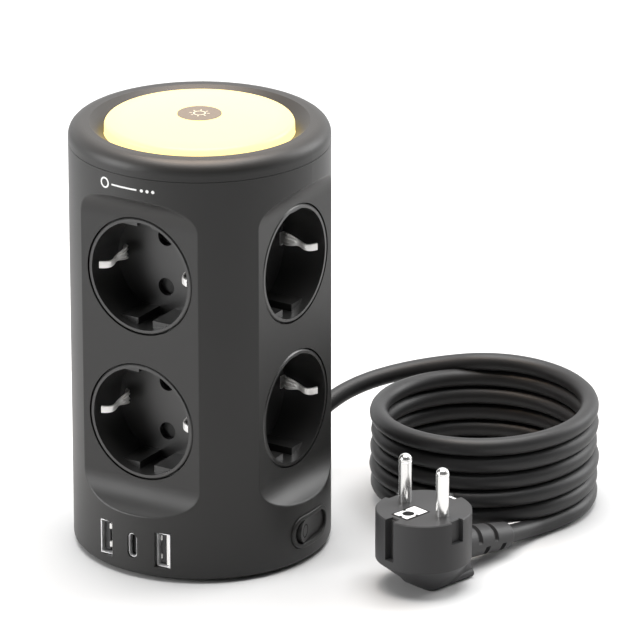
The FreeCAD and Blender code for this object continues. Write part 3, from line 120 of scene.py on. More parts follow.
class Shader:
    """The node tree of one material, built from a bare Principled shader."""

    def __init__(self, name: str) -> None:
        """Makes the material and clears its tree down to shader and output."""
        self.material = bpy.data.materials.new(name)
        self.material.use_nodes = True
        self.tree = self.material.node_tree
        self.tree.nodes.clear()
        self.output = self.tree.nodes.new("ShaderNodeOutputMaterial")
        self.surface = self.node("ShaderNodeBsdfPrincipled", {}, {})
        self.tree.links.new(self.surface.outputs[0], self.output.inputs["Surface"])

    def node(self, kind: str, settings: dict[str, Any],
             inputs: dict[Any, Any]) -> bpy.types.Node:
        """Adds any node.

        Args:
            kind: The node's type.
            settings: Properties, set before the inputs.
            inputs: Socket name or number to a value, a Signal or a socket.

        Returns:
            The new node.
        """
        made = self.tree.nodes.new(kind)
        for key, value in settings.items():
            setattr(made, key, value)
        for key, value in inputs.items():
            self.feed(made.inputs[key], value)
        return made

    def feed(self, socket: bpy.types.NodeSocket, value: Any) -> None:
        """Links a signal or a socket to an input, or sets the input's own value."""
        if isinstance(value, Signal):
            value = value.socket
        if isinstance(value, bpy.types.NodeSocket):
            self.tree.links.new(value, socket)
        elif isinstance(value, tuple) and len(value) == 3 and socket.type == "RGBA":
            socket.default_value = (*value, 1.0)
        else:
            socket.default_value = value

    def place(self) -> bpy.types.NodeSocket:
        """The place on the piece, in metres."""
        return self.node("ShaderNodeTexCoord", {}, {}).outputs["Object"]

    def axes(self) -> tuple[Signal, Signal, Signal]:
        """The place's X, Y and Z as three signals."""
        split = self.node("ShaderNodeSeparateXYZ", {}, {0: self.place()})
        return tuple(Signal(self, split.outputs[index]) for index in range(3))

    def noise(self, scale: float, detail: float = 2.0, roughness: float = 0.5,
              stretch: Colour = (1.0, 1.0, 1.0)) -> Signal:
        """Soft noise of a scale per metre, stretched along the axes."""
        mapped = self.node("ShaderNodeMapping", {}, {"Vector": self.place(), "Scale": stretch})
        made = self.node("ShaderNodeTexNoise", {}, {
            "Vector": mapped.outputs[0], "Scale": scale, "Detail": detail,
            "Roughness": roughness})
        return Signal(self, made.outputs["Fac"])

    def blend(self, share: Any, low: Any, high: Any) -> bpy.types.NodeSocket:
        """Mixes two colours."""
        mix = self.node("ShaderNodeMix", {"data_type": "RGBA"},
                        {"Factor": share, 6: low, 7: high})
        return mix.outputs[2]

    def relief(self, height: Signal, depth: float, strength: float) -> None:
        """Bumps the surface by a height signal, depth in metres."""
        bump = self.node("ShaderNodeBump", {}, {
            "Height": height, "Distance": depth, "Strength": strength})
        self.feed(self.surface.inputs["Normal"], bump.outputs[0])

    def set(self, **values: Any) -> None:
        """Sets inputs of the Principled shader; underscores stand for spaces."""
        for key, value in values.items():
            self.feed(self.surface.inputs[key.replace("_", " ")], value)


# ------------------------------------------------------------------ finishes
@dataclass(frozen=True)
class Moulded:
    """Moulded plastic or rubber with a fine eroded grain.

    Attributes:
        name: The material's name.
        colour: Its base colour.
        roughness: Middle of its roughness.
        grain: Grains per metre.
        depth: Height of the grain in metres.
        mottle: How much the colour drifts, as a share.
        specular: Specular level.
    """

    name: str
    colour: Colour
    roughness: float = 0.42
    grain: float = 2600.0
    depth: float = 0.00004
    mottle: float = 0.10
    specular: float = 0.5

    def make(self) -> bpy.types.Material:
        """Grain is fine noise in the bump; slow noise drifts colour and roughness."""
        shader = Shader(self.name)
        slow = shader.noise(34.0, 3.0)
        fine = shader.noise(self.grain, 2.0)
        light = tuple(min(1.0, part * (1.0 + self.mottle)) for part in self.colour)
        dark = tuple(part * (1.0 - self.mottle) for part in self.colour)
        shader.set(Base_Color=shader.blend(slow, dark, light),
                   Roughness=self.roughness + (slow - 0.5) * 0.10 + (fine - 0.5) * 0.08,
                   Specular_IOR_Level=self.specular)
        shader.relief(fine, self.depth, 0.35)
        return shader.material


@dataclass(frozen=True)
class Metal:
    """Bare or plated metal with fine draw lines and dull patches."""

    name: str
    colour: Colour
    roughness: float = 0.24
    stretch: Colour = (1.0, 1.0, 0.06)
    metallic: float = 1.0

    def make(self) -> bpy.types.Material:
        """Stretched noise draws the lines; slow noise dulls the polish in patches."""
        shader = Shader(self.name)
        lines = shader.noise(2400.0, 3.0, 0.6, self.stretch)
        patches = shader.noise(160.0, 3.0)
        dull = tuple(part * 0.8 for part in self.colour)
        shader.set(Base_Color=shader.blend(patches, dull, self.colour), Metallic=self.metallic,
                   Roughness=self.roughness + (patches - 0.5) * 0.16 + (lines - 0.5) * 0.10)
        shader.relief(lines, 0.00002, 0.25)
        return shader.material


@dataclass(frozen=True)
class Glow:
    """The lamp's milky lens, lit from inside: paler in the middle, warmer at its rim."""

    name: str
    middle: Colour
    rim: Colour
    reach: float
    strength: float
    inside: float = 0.80
    steepness: float = 5.0

    def make(self) -> bpy.types.Material:
        """The distance from the axis over the lens's radius turns middle into rim."""
        shader = Shader(self.name)
        x, y, _ = shader.axes()
        share = (((x * x + y * y).root() / self.reach - self.inside)
                 * self.steepness).clipped()
        haze = shader.noise(60.0, 2.0)
        lit = shader.blend(share, self.middle, self.rim)
        shader.set(Base_Color=(0.025, 0.024, 0.02), Emission_Color=lit,
                   Emission_Strength=self.strength, Roughness=0.34 + haze * 0.08,
                   Specular_IOR_Level=0.25)
        shader.relief(haze, 0.0001, 0.1)
        return shader.material


@dataclass(frozen=True)
class Board:
    """Green circuit board: lacquer over faint copper tracks."""

    name: str

    def make(self) -> bpy.types.Material:
        """Square waves along X and Z, cut by noise, stand for the tracks."""
        shader = Shader(self.name)
        x, y, z = shader.axes()
        tracks = ((x * 2400.0).wave() * ((z + y) * 1900.0).wave()) > 0.35
        broken = shader.noise(150.0, 1.0) > 0.5
        shader.set(Base_Color=shader.blend(tracks * broken, (0.02, 0.09, 0.05),
                                           (0.06, 0.22, 0.11)),
                   Roughness=0.35 + tracks * 0.1, Coat_Weight=0.3)
        return shader.material


class Finish(Enum):
    """The finishes of the tower's pieces; the value makes the material."""

    BODY = Moulded("Body satin plastic", (0.013, 0.0127, 0.0122), 0.45, depth=0.00003,
                   specular=0.40)
    WELL = Moulded("Socket insert plastic", (0.015, 0.0148, 0.0145), 0.34, depth=0.00002,
                   specular=0.7)
    SHUTTER = Moulded("Shutter plastic", (0.010, 0.010, 0.010), 0.45)
    LENS = Glow("Lamp lens", (1.0, 0.78, 0.31), (1.0, 0.76, 0.285), 0.0344, 1.95)
    TOUCH = Moulded("Touch disc", (0.115, 0.098, 0.080), 0.5, depth=0.00002,
                    specular=0.3)
    ICON = Moulded("Disc print", (0.45, 0.43, 0.34), 0.5)
    RUBBER = Moulded("Foot rubber", (0.014, 0.014, 0.014), 0.75, 1500.0, 0.00008)
    SHEATH = Moulded("Lead sheath", (0.014, 0.014, 0.0145), 0.48, 1800.0, 0.00003,
                      specular=0.35)
    PLUG = Moulded("Plug plastic", (0.030, 0.030, 0.031), 0.50, depth=0.00004,
                   specular=0.30)
    CORE = Moulded("Contact carrier", (0.55, 0.54, 0.50), 0.5)
    WIRE = Moulded("Wire insulation", (0.03, 0.09, 0.35), 0.4)
    TONGUE = Moulded("Port tongue", (0.030, 0.030, 0.032), 0.45)
    PRINT = Moulded("White print", (0.72, 0.72, 0.71), 0.55, depth=0.00001)
    # Deep black for the rocker's printed ring, and painted shade in the port liners, the frame
    # round the earth plate and the earth hole's tube.
    MARK = Moulded("Deep black print and painted shade", (0.002, 0.002, 0.002), 0.6, specular=0.15)
    CHIP = Moulded("Light chip", (0.85, 0.72, 0.25), 0.3)
    BOARD = Board("Circuit board")
    STEEL = Metal("Zinc steel", (0.62, 0.62, 0.63), 0.34)
    PORT = Metal("Port shell", (0.90, 0.90, 0.91), 0.30, metallic=0.6)
    SPRING = Metal("Contact spring", (0.86, 0.85, 0.83), 0.32, (1.0, 1.0, 1.0), 0.35)
    # Steel darkened far below its own colour: painted shade of the deep slots that hold the
    # plug's earth strips.
    DARK_STRIP = Metal("Earth strip with painted shade", (0.16, 0.16, 0.16), 0.35)
    BRASS = Metal("Brass", (0.72, 0.52, 0.22), 0.28)
    NICKEL = Metal("Nickel pins", (0.82, 0.82, 0.81), 0.16, metallic=0.9)
    PLATE = Metal("Earth plate", (0.95, 0.95, 0.95), 0.40, (1.0, 1.0, 1.0), 0.3)

    def material(self) -> bpy.types.Material:
        """This finish's material, made once."""
        made = bpy.data.materials.get(self.value.name)
        return made or self.value.make()


# ------------------------------------------------------------------ surfaces
@dataclass
class Axes:
    """A local frame: an origin and three unit directions, as rows of a matrix."""

    origin: np.ndarray
    rows: np.ndarray

    @classmethod
    def upright(cls, origin: Sequence[float], turn: float) -> "Axes":
        """A frame turned about the vertical.

        Args:
            origin: Its origin in metres.
            turn: Angle of its first axis from +X, in radians.

        Returns:
            The frame.
        """
        cos, sin = math.cos(turn), math.sin(turn)
        return cls(np.array(origin, float),
                   np.array([(cos, sin, 0.0), (-sin, cos, 0.0), (0.0, 0.0, 1.0)]))

    @classmethod
    def along(cls, start: Sequence[float], end: Sequence[float]) -> "Axes":
        """A frame whose third axis runs from one point towards another."""
        start = np.array(start, float)
        third = np.array(end, float) - start
        third /= np.linalg.norm(third)
        first = np.cross((0.0, 0.0, 1.0), third)
        first /= np.linalg.norm(first)
        return cls(start, np.array([first, np.cross(third, first), third]))

    @classmethod
    def facing(cls, angle: float) -> "Axes":
        """A socket face's frame: X along the face, Y up, Z out from the tower's axis."""
        out = np.array([math.cos(angle), math.sin(angle), 0.0])
        up = np.array([0.0, 0.0, 1.0])
        return cls(np.zeros(3), np.array([np.cross(up, out), up, out]))

    def world(self, points: np.ndarray) -> np.ndarray:
        """Local points to the tower's own frame."""
        return points @ self.rows + self.origin


@dataclass
class Surface:
    """Patches of vertices and faces that become one mesh."""

    name: str
    vertices: list[np.ndarray] = field(default_factory=list)
    faces: list[list[int]] = field(default_factory=list)
    slots: list[int] = field(default_factory=list)
    count: int = 0

    def patch(self, grid: np.ndarray, close_rows: bool = False, close_columns: bool = False,
              cap_ends: bool = False, slot: int = 0) -> "Surface":
        """Adds a grid of points as quads.

        Args:
            grid: Rows by columns by 3.
            close_rows: Whether the last row joins the first.
            close_columns: Whether the last column joins the first.
            cap_ends: Whether the first and last rows are filled.
            slot: Material slot of the patch.

        Returns:
            This surface.
        """
        rows, columns = grid.shape[:2]
        row = np.arange(rows if close_rows else rows - 1)[:, None]
        column = np.arange(columns if close_columns else columns - 1)[None, :]
        next_row, next_column = (row + 1) % rows, (column + 1) % columns
        quads = np.stack([row * columns + column, row * columns + next_column,
                          next_row * columns + next_column, next_row * columns + column], -1)
        made = (quads.reshape(-1, 4) + self.count).tolist()
        if cap_ends:
            first = np.arange(columns) + self.count
            made += [first[::-1].tolist(), (first + (rows - 1) * columns).tolist()]
        self.vertices.append(grid.reshape(-1, 3))
        self.faces += made
        self.slots += [slot] * len(made)
        self.count += rows * columns
        return self

    def build(self, finishes: Sequence[Finish], sharp: float = 32.0) -> bpy.types.Object:
        """Makes the object: doubles merged, faces turned out, smooth up to an angle."""
        mesh = bpy.data.meshes.new(self.name)
        mesh.from_pydata(np.concatenate(self.vertices), [], self.faces)
        for finish in finishes:
            mesh.materials.append(finish.material())
        mesh.polygons.foreach_set("material_index", self.slots)
        work = bmesh.new()
        work.from_mesh(mesh)
        bmesh.ops.remove_doubles(work, verts=work.verts, dist=MERGE)
        bmesh.ops.dissolve_degenerate(work, edges=work.edges, dist=MERGE)
        bmesh.ops.recalc_face_normals(work, faces=work.faces)
        work.to_mesh(mesh)
        work.free()
        mesh.polygons.foreach_set("use_smooth", np.ones(len(mesh.polygons), bool))
        mesh.set_sharp_from_angle(angle=math.radians(sharp))
        item = bpy.data.objects.new(self.name, mesh)
        bpy.context.scene.collection.objects.link(item)
        return item


def turned(profile: Sequence[tuple[float, float]], axes: Axes, sides: int = 64) -> np.ndarray:
    """A profile of (radius, height) carried round the third axis.

    Args:
        profile: Points from one end to the other, in millimetres.
        axes: The frame that it is turned in.
        sides: Columns round the axis.

    Returns:
        A grid of points: radius times the cosine and sine of the angle, and the height.
    """
    pairs = np.array(profile, float) * MM
    angle = np.linspace(0.0, 2.0 * np.pi, sides, endpoint=False)
    radius, height = pairs[:, :1], pairs[:, 1:]
    grid = np.stack([radius * np.cos(angle), radius * np.sin(angle),
                     height + 0.0 * angle], -1)
    return axes.world(grid)


def slab(outline: np.ndarray, low: float, high: float, axes: Axes) -> np.ndarray:
    """A flat outline, in millimetres, given a thickness along the third axis."""
    levels = np.array([low, high]) * MM
    flat = np.broadcast_to(outline * MM, (2, *outline.shape))
    rise = np.broadcast_to(levels[:, None, None], (2, len(outline), 1))
    return axes.world(np.concatenate([flat, rise], -1))


def rounded_box(half_x: float, half_y: float, corner: float, steps: int = 6) -> np.ndarray:
    """The outline of a rectangle with round corners: quarter circles at its four corners."""
    quarter = np.linspace(0.0, 0.5 * np.pi, steps)
    turns = np.concatenate([quarter + 0.5 * np.pi * index for index in range(4)])
    signs = np.repeat(np.array([(1, 1), (-1, 1), (-1, -1), (1, -1)]), steps, axis=0)
    centres = signs * np.array([half_x - corner, half_y - corner])
    return centres + corner * np.stack([np.cos(turns), np.sin(turns)], -1)


def softened(points: Sequence[Sequence[float]], rows: int, blur: int) -> np.ndarray:
    """A path through points with its corners blurred by a moving average.

    Args:
        points: The path's corners, with any further values to carry along.
        rows: Number of points on the finished path.
        blur: Width of the moving average, in points.

    Returns:
        Rows by the number of values.
    """
    corners = np.array(points, float)
    steps = np.linalg.norm(np.diff(corners[:, :3], axis=0), axis=1)
    runs = np.concatenate([[0.0], np.cumsum(steps)])
    at = np.linspace(0.0, runs[-1], rows)
    line = np.stack([np.interp(at, runs, column) for column in corners.T], -1)
    half = blur // 2
    padded = np.concatenate([np.repeat(line[:1], half, 0), line, np.repeat(line[-1:], half, 0)])
    kernel = np.ones(blur) / blur
    return np.stack([np.convolve(column, kernel, "valid") for column in padded.T], -1)


def tube(path: np.ndarray, radius: float, axes: Axes, sides: int = 16) -> np.ndarray:
    """A round bar along a path, in millimetres.

    The section at each point is a circle square to the path; its radius shrinks to nothing
    over the first and last points as a quarter circle does, so both ends are round.
    """
    ahead = np.gradient(path, axis=0)
    ahead /= np.linalg.norm(ahead, axis=1, keepdims=True)
    helper = np.array([0.0, 0.0, 1.0]) if abs(ahead[0, 2]) < 0.9 else np.array([1.0, 0.0, 0.0])
    across = np.cross(ahead, helper)
    across /= np.linalg.norm(across, axis=1, keepdims=True)
    up = np.cross(across, ahead)
    angle = np.linspace(0.0, 2.0 * np.pi, sides, endpoint=False)[None, :, None]
    circle = across[:, None] * np.cos(angle) + up[:, None] * np.sin(angle)
    bend = np.linspace(0.5 * np.pi, 0.05, 6)
    first = path[0] + ahead[0] * (radius * (1.0 - np.sin(bend)))[:, None]
    last = path[-1] - ahead[-1] * (radius * (1.0 - np.sin(bend)))[::-1, None]
    ends = radius * np.cos(bend)
    low = first[:, None] + circle[0] * ends[:, None, None]
    high = last[:, None] + circle[-1] * ends[::-1, None, None]
    middle = path[1:-1, None] + circle[1:-1] * radius
    return axes.world(np.concatenate([low, middle, high]) * MM)


# ------------------------------------------------------------------ studio
@dataclass(frozen=True)
class Softbox:
    """A rectangular soft light.

    Attributes:
        name: The light's name.
        at: Its place in metres.
        size: Its width and height.
        radiance: How bright its face is.
        tint: Its colour.
    """

    name: str
    at: tuple[float, float, float]
    size: tuple[float, float]
    radiance: float
    tint: Colour = (1.0, 1.0, 1.0)


@dataclass
class Studio:
    """Pale floor, soft lights and the camera."""

    azimuth: float = 31.5
    elevation: float = 20.93
    camera_at: tuple[float, float, float] = (1.1104, -1.7290, 0.8699)
    lens: float = 339.3
    sensor: float = 36.0
    farthest: float = 50.0
    floor_half: float = 6.0
    floor_lines: int = 9
    floor_drop: float = 0.0002
    floor_colour: Colour = (0.53, 0.53, 0.53)
    sky_back: float = 1.45
    sky_front: float = 0.08
    sky_away: tuple[float, float, float] = (-0.52, 0.85, 0.1)
    sky_span: tuple[float, float] = (-0.6, 0.7)
    aim: tuple[float, float, float] = (0.04, 0.04, 0.06)
    softboxes: tuple[Softbox, ...] = (
        Softbox("Overhead", (0.0, 0.15, 1.7), (1.5, 1.5), 8.0),
        Softbox("Key", (-1.1, -1.15, 0.42), (0.9, 0.8), 10.0),
        Softbox("Back", (1.0, 1.5, 0.9), (0.8, 1.2), 8.0),
        Softbox("Lamp glow", (0.0, 0.0, 0.29), (0.09, 0.09), 8.0, (1.0, 0.62, 0.34)))

    def camera(self) -> None:
        """Puts the camera along the viewing direction given by azimuth and elevation."""
        turn, tilt = math.radians(self.azimuth), math.radians(self.elevation)
        data = bpy.data.cameras.new("View")
        data.lens = self.lens
        data.sensor_width = self.sensor
        data.clip_end = self.farthest
        item = bpy.data.objects.new("View", data)
        item.location = self.camera_at
        item.rotation_euler = (0.5 * math.pi - tilt, 0.0, turn)
        bpy.context.scene.collection.objects.link(item)
        bpy.context.scene.camera = item

    def floor(self) -> None:
        """A large plain floor, a coarse grid of faces, just under the feet."""
        span = np.linspace(-self.floor_half, self.floor_half, self.floor_lines)
        x, y = np.meshgrid(span, span, indexing="ij")
        shader = Shader("Studio floor")
        cloud = shader.noise(1.5, 1.0)
        low = tuple(part * 0.995 for part in self.floor_colour)
        shader.set(Base_Color=shader.blend(cloud, low, self.floor_colour), Roughness=0.7,
                   Specular_IOR_Level=0.2)
        grid = np.stack([x, y, 0.0 * x - self.floor_drop], -1)
        item = Surface("studio_floor").patch(grid).build([])
        if item.data.polygons[0].normal.z < 0.0:
            item.data.flip_normals()
        item.data.materials.append(shader.material)

    def light(self, box: Softbox) -> None:
        """Hangs one soft light, aimed at the middle of the tower and its lead."""
        data = bpy.data.lights.new(box.name, "AREA")
        data.shape = "RECTANGLE"
        data.size, data.size_y = box.size
        data.energy = box.radiance * math.pi * box.size[0] * box.size[1]
        data.color = box.tint
        item = bpy.data.objects.new(box.name, data)
        item.location = box.at
        aim = np.array(self.aim) - np.array(box.at)
        flat = math.hypot(aim[0], aim[1])
        item.rotation_euler = (math.atan2(flat, -aim[2]), 0.0,
                               math.atan2(aim[1], aim[0]) - 0.5 * math.pi)
        bpy.context.scene.collection.objects.link(item)

    def sky(self) -> None:
        """A sky that is bright behind the tower and dark in front of it.

        The direction's share along the line away from the camera turns dark into bright.
        """
        world = bpy.data.worlds.new("Studio")
        world.use_nodes = True
        tree = world.node_tree
        place = tree.nodes.new("ShaderNodeTexCoord")
        along = tree.nodes.new("ShaderNodeVectorMath")
        along.operation = "DOT_PRODUCT"
        along.inputs[1].default_value = self.sky_away
        level = tree.nodes.new("ShaderNodeMapRange")
        level.interpolation_type = "SMOOTHSTEP"
        for index, value in enumerate((*self.sky_span, self.sky_front, self.sky_back), start=1):
            level.inputs[index].default_value = value
        tree.links.new(place.outputs["Generated"], along.inputs[0])
        tree.links.new(along.outputs["Value"], level.inputs[0])
        tree.links.new(level.outputs[0], tree.nodes["Background"].inputs[1])
        tree.nodes["Background"].inputs[0].default_value = (1.0, 1.0, 1.0, 1.0)
        bpy.context.scene.world = world

    def lights(self) -> None:
        """The sky, softboxes overhead, at the left and behind, and the lamp's warm glow."""
        bpy.context.scene.view_settings.view_transform = "Standard"
        self.sky()
        for box in self.softboxes:
            self.light(box)

    def build(self) -> None:
        """Camera first, then floor and lights."""
        self.camera()
        self.floor()
        self.lights()


# ------------------------------------------------------------------ mains lead
@dataclass
class MainsLead:
    """The lead: up from its gland, round the coil and down to the plug."""

    diameter: float = 6.8
    rise: tuple[tuple[float, float, float], ...] = (
        (2.0, 67.0, 20.0), (5.4, 79.8, 26.3), (11.5, 93.0, 30.5),
        (22.0, 104.5, 33.6), (36.2, 112.3, 36.9), (51.5, 116.2, 40.1))
    tail: tuple[tuple[float, float, float], ...] = (
        (108.2, 67.8, 3.4), (105.7, 59.6, 3.7), (104.6, 51.1, 5.0), (104.1, 42.9, 6.7))
    coil_middle: tuple[float, float] = (72.0, 82.8)
    coil_radius: float = 39.2
    coil_top: float = 40.1
    coil_start: float = 121.5
    turns: float = 5.4
    points_per_turn: int = 16
    wander: float = 0.5
    beat: float = 2.3
    length: float = 1.43

    def coil(self) -> np.ndarray:
        """The coil's control points: a helix, each turn a little wider or narrower.

        The curve runs inside its control points, so their radius is larger by one over
        0.75 + 0.25 times the cosine of the angle between two of them.
        """
        step = 2.0 * math.pi / self.points_per_turn
        outside = 1.0 / (0.75 + 0.25 * math.cos(step))
        count = round(self.turns * self.points_per_turn)
        index = np.arange(1, count)
        gone = index / count * self.turns
        angle = math.radians(self.coil_start) - 2.0 * math.pi * gone
        swell = self.wander * np.sin(self.beat * gone) * np.sin(math.pi * index / count)
        radius = self.coil_radius * outside + swell
        return np.stack([self.coil_middle[0] + radius * np.cos(angle),
                         self.coil_middle[1] + radius * np.sin(angle),
                         self.coil_top - self.diameter * gone], -1)

    def build(self, with_pieces: Sequence[bpy.types.Object]) -> None:
        curve = bpy.data.curves.new("mains_lead", "CURVE")
        curve.dimensions = "3D"
        curve.bevel_depth = 0.5 * self.diameter * MM
        curve.bevel_resolution = 6
        curve.resolution_u = 10
        curve.use_fill_caps = True
        route = np.concatenate([self.rise, self.coil(), self.tail])
        spline = curve.splines.new("NURBS")
        spline.points.add(len(route) - 1)
        flat = np.concatenate([route * MM, np.ones((len(route), 1))], 1)
        spline.points.foreach_set("co", flat.ravel())
        spline.order_u = 3
        spline.use_endpoint_u = True
        curve.materials.append(Finish.SHEATH.material())
        item = bpy.data.objects.new("mains_lead", curve)
        bpy.context.scene.collection.objects.link(item)
        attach(item, "tower")
        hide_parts("cord_lead", "cord_coil", "cord_tail")
        LOG.info("mains lead: %d points", len(route))


@dataclass
class Gland:
    """The rubber gland at the tower's back: collar and a ribbed taper."""

    root: tuple[float, float, float] = (0.0, 47.5, 14.5)
    tip: tuple[float, float, float] = (2.0, 67.0, 20.0)
    collar_radius: float = 7.8
    collar_thick: float = 2.2
    collar_bevel: float = 0.5
    stand_off: float = 0.15
    flange: tuple[tuple[float, float], ...] = (
        (0.0, -6.0), (8.4, -6.0), (8.4, -3.8), (6.0, -3.6), (6.0, 0.15))
    root_radius: float = 5.8
    tip_radius: float = 4.3
    bore: float = 3.45
    ribs: int = 5
    rib_height: float = 0.45
    ribbed: tuple[float, float] = (0.2, 0.92)

    def build(self) -> bpy.types.Object:
        """Collar, flange and taper as turned profiles; the ribs are a raised cosine."""
        out = Axes(np.array(self.root) * MM,
                   np.array([(-1.0, 0.0, 0.0), (0.0, 0.0, 1.0), (0.0, 1.0, 0.0)]))
        edge, thick, bevel = self.collar_radius, self.collar_thick, self.collar_bevel
        front = thick + self.stand_off
        seat = [*self.flange, (edge, self.stand_off), (edge, thick - bevel),
                (edge - bevel, thick + 0.1), (self.root_radius, front), (0.0, front)]
        slope = Axes.along(np.array(self.root) * MM, np.array(self.tip) * MM)
        length = float(np.linalg.norm(np.subtract(self.tip, self.root)))
        along = np.linspace(0.0, 1.0, 60)
        radius = self.root_radius + (self.tip_radius - self.root_radius) * along
        low, high = self.ribbed
        inside = (along > low) & (along < high)
        wave = 0.5 - 0.5 * np.cos((along - low) / (high - low) * 2.0 * np.pi * self.ribs)
        radius = radius - np.where(inside, self.rib_height * wave, 0.0)
        taper = [(0.0, 0.0), *zip(radius, along * length), (self.bore, length), (0.0, length)]
        item = (Surface("lead_gland").patch(turned(seat, out), close_columns=True)
                .patch(turned(taper, slope), close_columns=True).build([Finish.SHEATH]))
        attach(item, "tower")
        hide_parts("cord_gland")
        return item


# ------------------------------------------------------------------ sockets, top and front
FACES = (-0.5 * math.pi, 0.0, 0.5 * math.pi, math.pi)


@dataclass
class EarthClips:
    """The eight bent strips whose sprung arms show inside the sockets."""

    mouth: float = 40.5
    heights: tuple[float, float] = (58.0, 114.0)
    thick: float = 0.8
    arm: tuple[tuple[float, ...], ...] = (
        (0.0, 0.0, 20.1, 2.5, 0.0), (17.6, 0.0, 20.1, 2.5, 0.0), (18.0, 0.4, 17.4, 2.5, 0.0),
        (15.6, 2.6, 14.6, 2.4, 0.5), (12.9, 3.0, 12.4, 2.4, 1.0), (13.1, 2.9, 10.4, 2.3, 1.0),
        (15.2, 1.8, 8.0, 1.1, 0.0), (14.9, 0.5, 5.2, 1.2, 0.0), (16.4, 0.2, 3.6, 1.35, 0.0),
        (19.2, 0.2, 2.3, 1.35, 0.0))
    ridge: float = 0.7
    ridges: float = 3.0
    edge_power: float = 0.45
    face_power: float = 0.30
    rows: int = 260
    blur: int = 9
    columns: int = 48

    def strip(self) -> np.ndarray:
        """The strip about its socket's middle: across, up and depth from the mouth.

        The section is a superellipse; on the knuckle three waves across its width stand up.
        """
        half = np.array(self.arm)
        mirror = half[:0:-1] * np.array([-1.0, 1.0, 1.0, 1.0, 1.0])
        path = softened(np.concatenate([mirror, half]), self.rows, self.blur)
        ahead = np.gradient(path[:, [0, 2]], axis=0)
        ahead /= np.linalg.norm(ahead, axis=1, keepdims=True)
        side = np.stack([-ahead[:, 1], ahead[:, 0]], -1)
        angle = np.linspace(0.0, 2.0 * np.pi, self.columns, endpoint=False)
        cos, sin = np.cos(angle), np.sin(angle)
        share = np.sign(sin) * np.abs(sin) ** self.edge_power
        flat = np.sign(cos) * np.abs(cos) ** self.face_power
        waves = 0.5 + 0.5 * np.cos(self.ridges * np.pi * share)
        lift = self.thick * 0.5 * flat + path[:, 4:5] * self.ridge * waves
        return np.stack([path[:, :1] + side[:, :1] * lift, path[:, 1:2] + path[:, 3:4] * share,
                         path[:, 2:3] + side[:, 1:] * lift], -1)

    def build(self) -> None:
        """One strip for each socket, in the order of the faces and then of the heights."""
        strip = self.strip()
        for level, height in enumerate(self.heights):
            for face, angle in enumerate(FACES):
                name = f"earth_clip_{level * len(FACES) + face + 1}"
                place = np.stack([strip[..., 0], strip[..., 1] + height,
                                  self.mouth - strip[..., 2]], -1) * MM
                item = (Surface(name.replace("earth_clip", "sprung_clip"))
                        .patch(Axes.facing(angle).world(place), close_columns=True,
                               cap_ends=True).build([Finish.SPRING], 50.0))
                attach(item, "tower")
                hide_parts(name)
        LOG.info("earth clips: %d", len(FACES) * len(self.heights))


@dataclass
class TouchIcon:
    """The pale print on the touch disc: a small sun, a ring with rays."""

    top: float = 163.94
    thick: float = 0.03
    sunk: float = 0.2
    ring: float = 1.9
    line: float = 0.42
    ray_start: float = 2.7
    ray_end: float = 3.8
    rays: int = 8

    def build(self) -> None:
        """The ring is a flat band between two circles; each ray is a slim rounded bar."""
        flat = Axes(np.zeros(3), np.eye(3))
        low, high = self.top - self.sunk, self.top + self.thick
        outer = self.ring + self.line
        band = [(self.ring, low), (self.ring, high), (outer, high), (outer, low),
                (self.ring, low)]
        surface = Surface("touch_icon").patch(turned(band, flat, 48), close_columns=True)
        for index in range(self.rays):
            turn = 2.0 * math.pi * (index + 0.5) / self.rays
            middle = 0.5 * (self.ray_start + self.ray_end)
            outline = rounded_box(0.5 * (self.ray_end - self.ray_start), 0.5 * self.line,
                                  0.49 * self.line) + np.array([middle, 0.0])
            surface.patch(slab(outline, low, high, Axes.upright((0.0, 0.0, 0.0), turn)),
                          close_columns=True, cap_ends=True)
        item = surface.build([Finish.ICON])
        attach(item, "tower")


@dataclass
class FrontMark:
    """A plain printed mark above the front panel: a ring, a bar and three dots."""

    radius: float = 47.5
    height: float = 149.6
    start: float = -10.6
    ring: float = 1.75
    line: float = 0.62
    bar_end: float = 3.6
    dots: tuple[float, ...] = (5.6, 7.8, 10.0)
    dot: float = 0.62
    bar_gap: float = 1.6
    thick: float = 0.03
    sunk: float = 0.3

    def wrap(self, outline: np.ndarray) -> np.ndarray:
        """Rolls a flat outline round the body: across becomes an angle, levels a radius."""
        levels = np.array([-self.sunk, self.thick])[:, None] + self.radius
        angle = outline[None, :, 0] / self.radius - 0.5 * np.pi
        return np.stack([levels * np.cos(angle), levels * np.sin(angle),
                         self.height + outline[None, :, 1] + 0.0 * levels], -1) * MM

    def build(self) -> None:
        """Every shape is a closed outline with the thickness of a print."""
        angle = np.linspace(0.0, 2.0 * np.pi, 48, endpoint=False)
        circle = np.stack([np.cos(angle), np.sin(angle)], -1)
        centre = np.array([self.start, 0.0])
        outer = self.wrap(centre + (self.ring + 0.5 * self.line) * circle)
        inner = self.wrap(centre + (self.ring - 0.5 * self.line) * circle)
        ring = np.concatenate([outer, inner[::-1]])
        surface = Surface("front_mark").patch(ring, close_rows=True, close_columns=True)
        bar_start = self.start + self.ring + self.bar_gap
        half = 0.5 * (self.bar_end - bar_start)
        steps = np.linspace(-half, half, 9)
        edge = np.full(9, 0.5 * self.line)
        bar = np.concatenate([np.stack([steps, -edge], -1), np.stack([steps[::-1], edge], -1)])
        bar = bar + np.array([bar_start + half, 0.0])
        surface.patch(self.wrap(bar), close_columns=True, cap_ends=True)
        for middle in self.dots:
            spot = np.array([middle, 0.0]) + self.dot * circle[::3]
            surface.patch(self.wrap(spot), close_columns=True, cap_ends=True)
        item = surface.build([Finish.PRINT])
        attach(item, "tower")


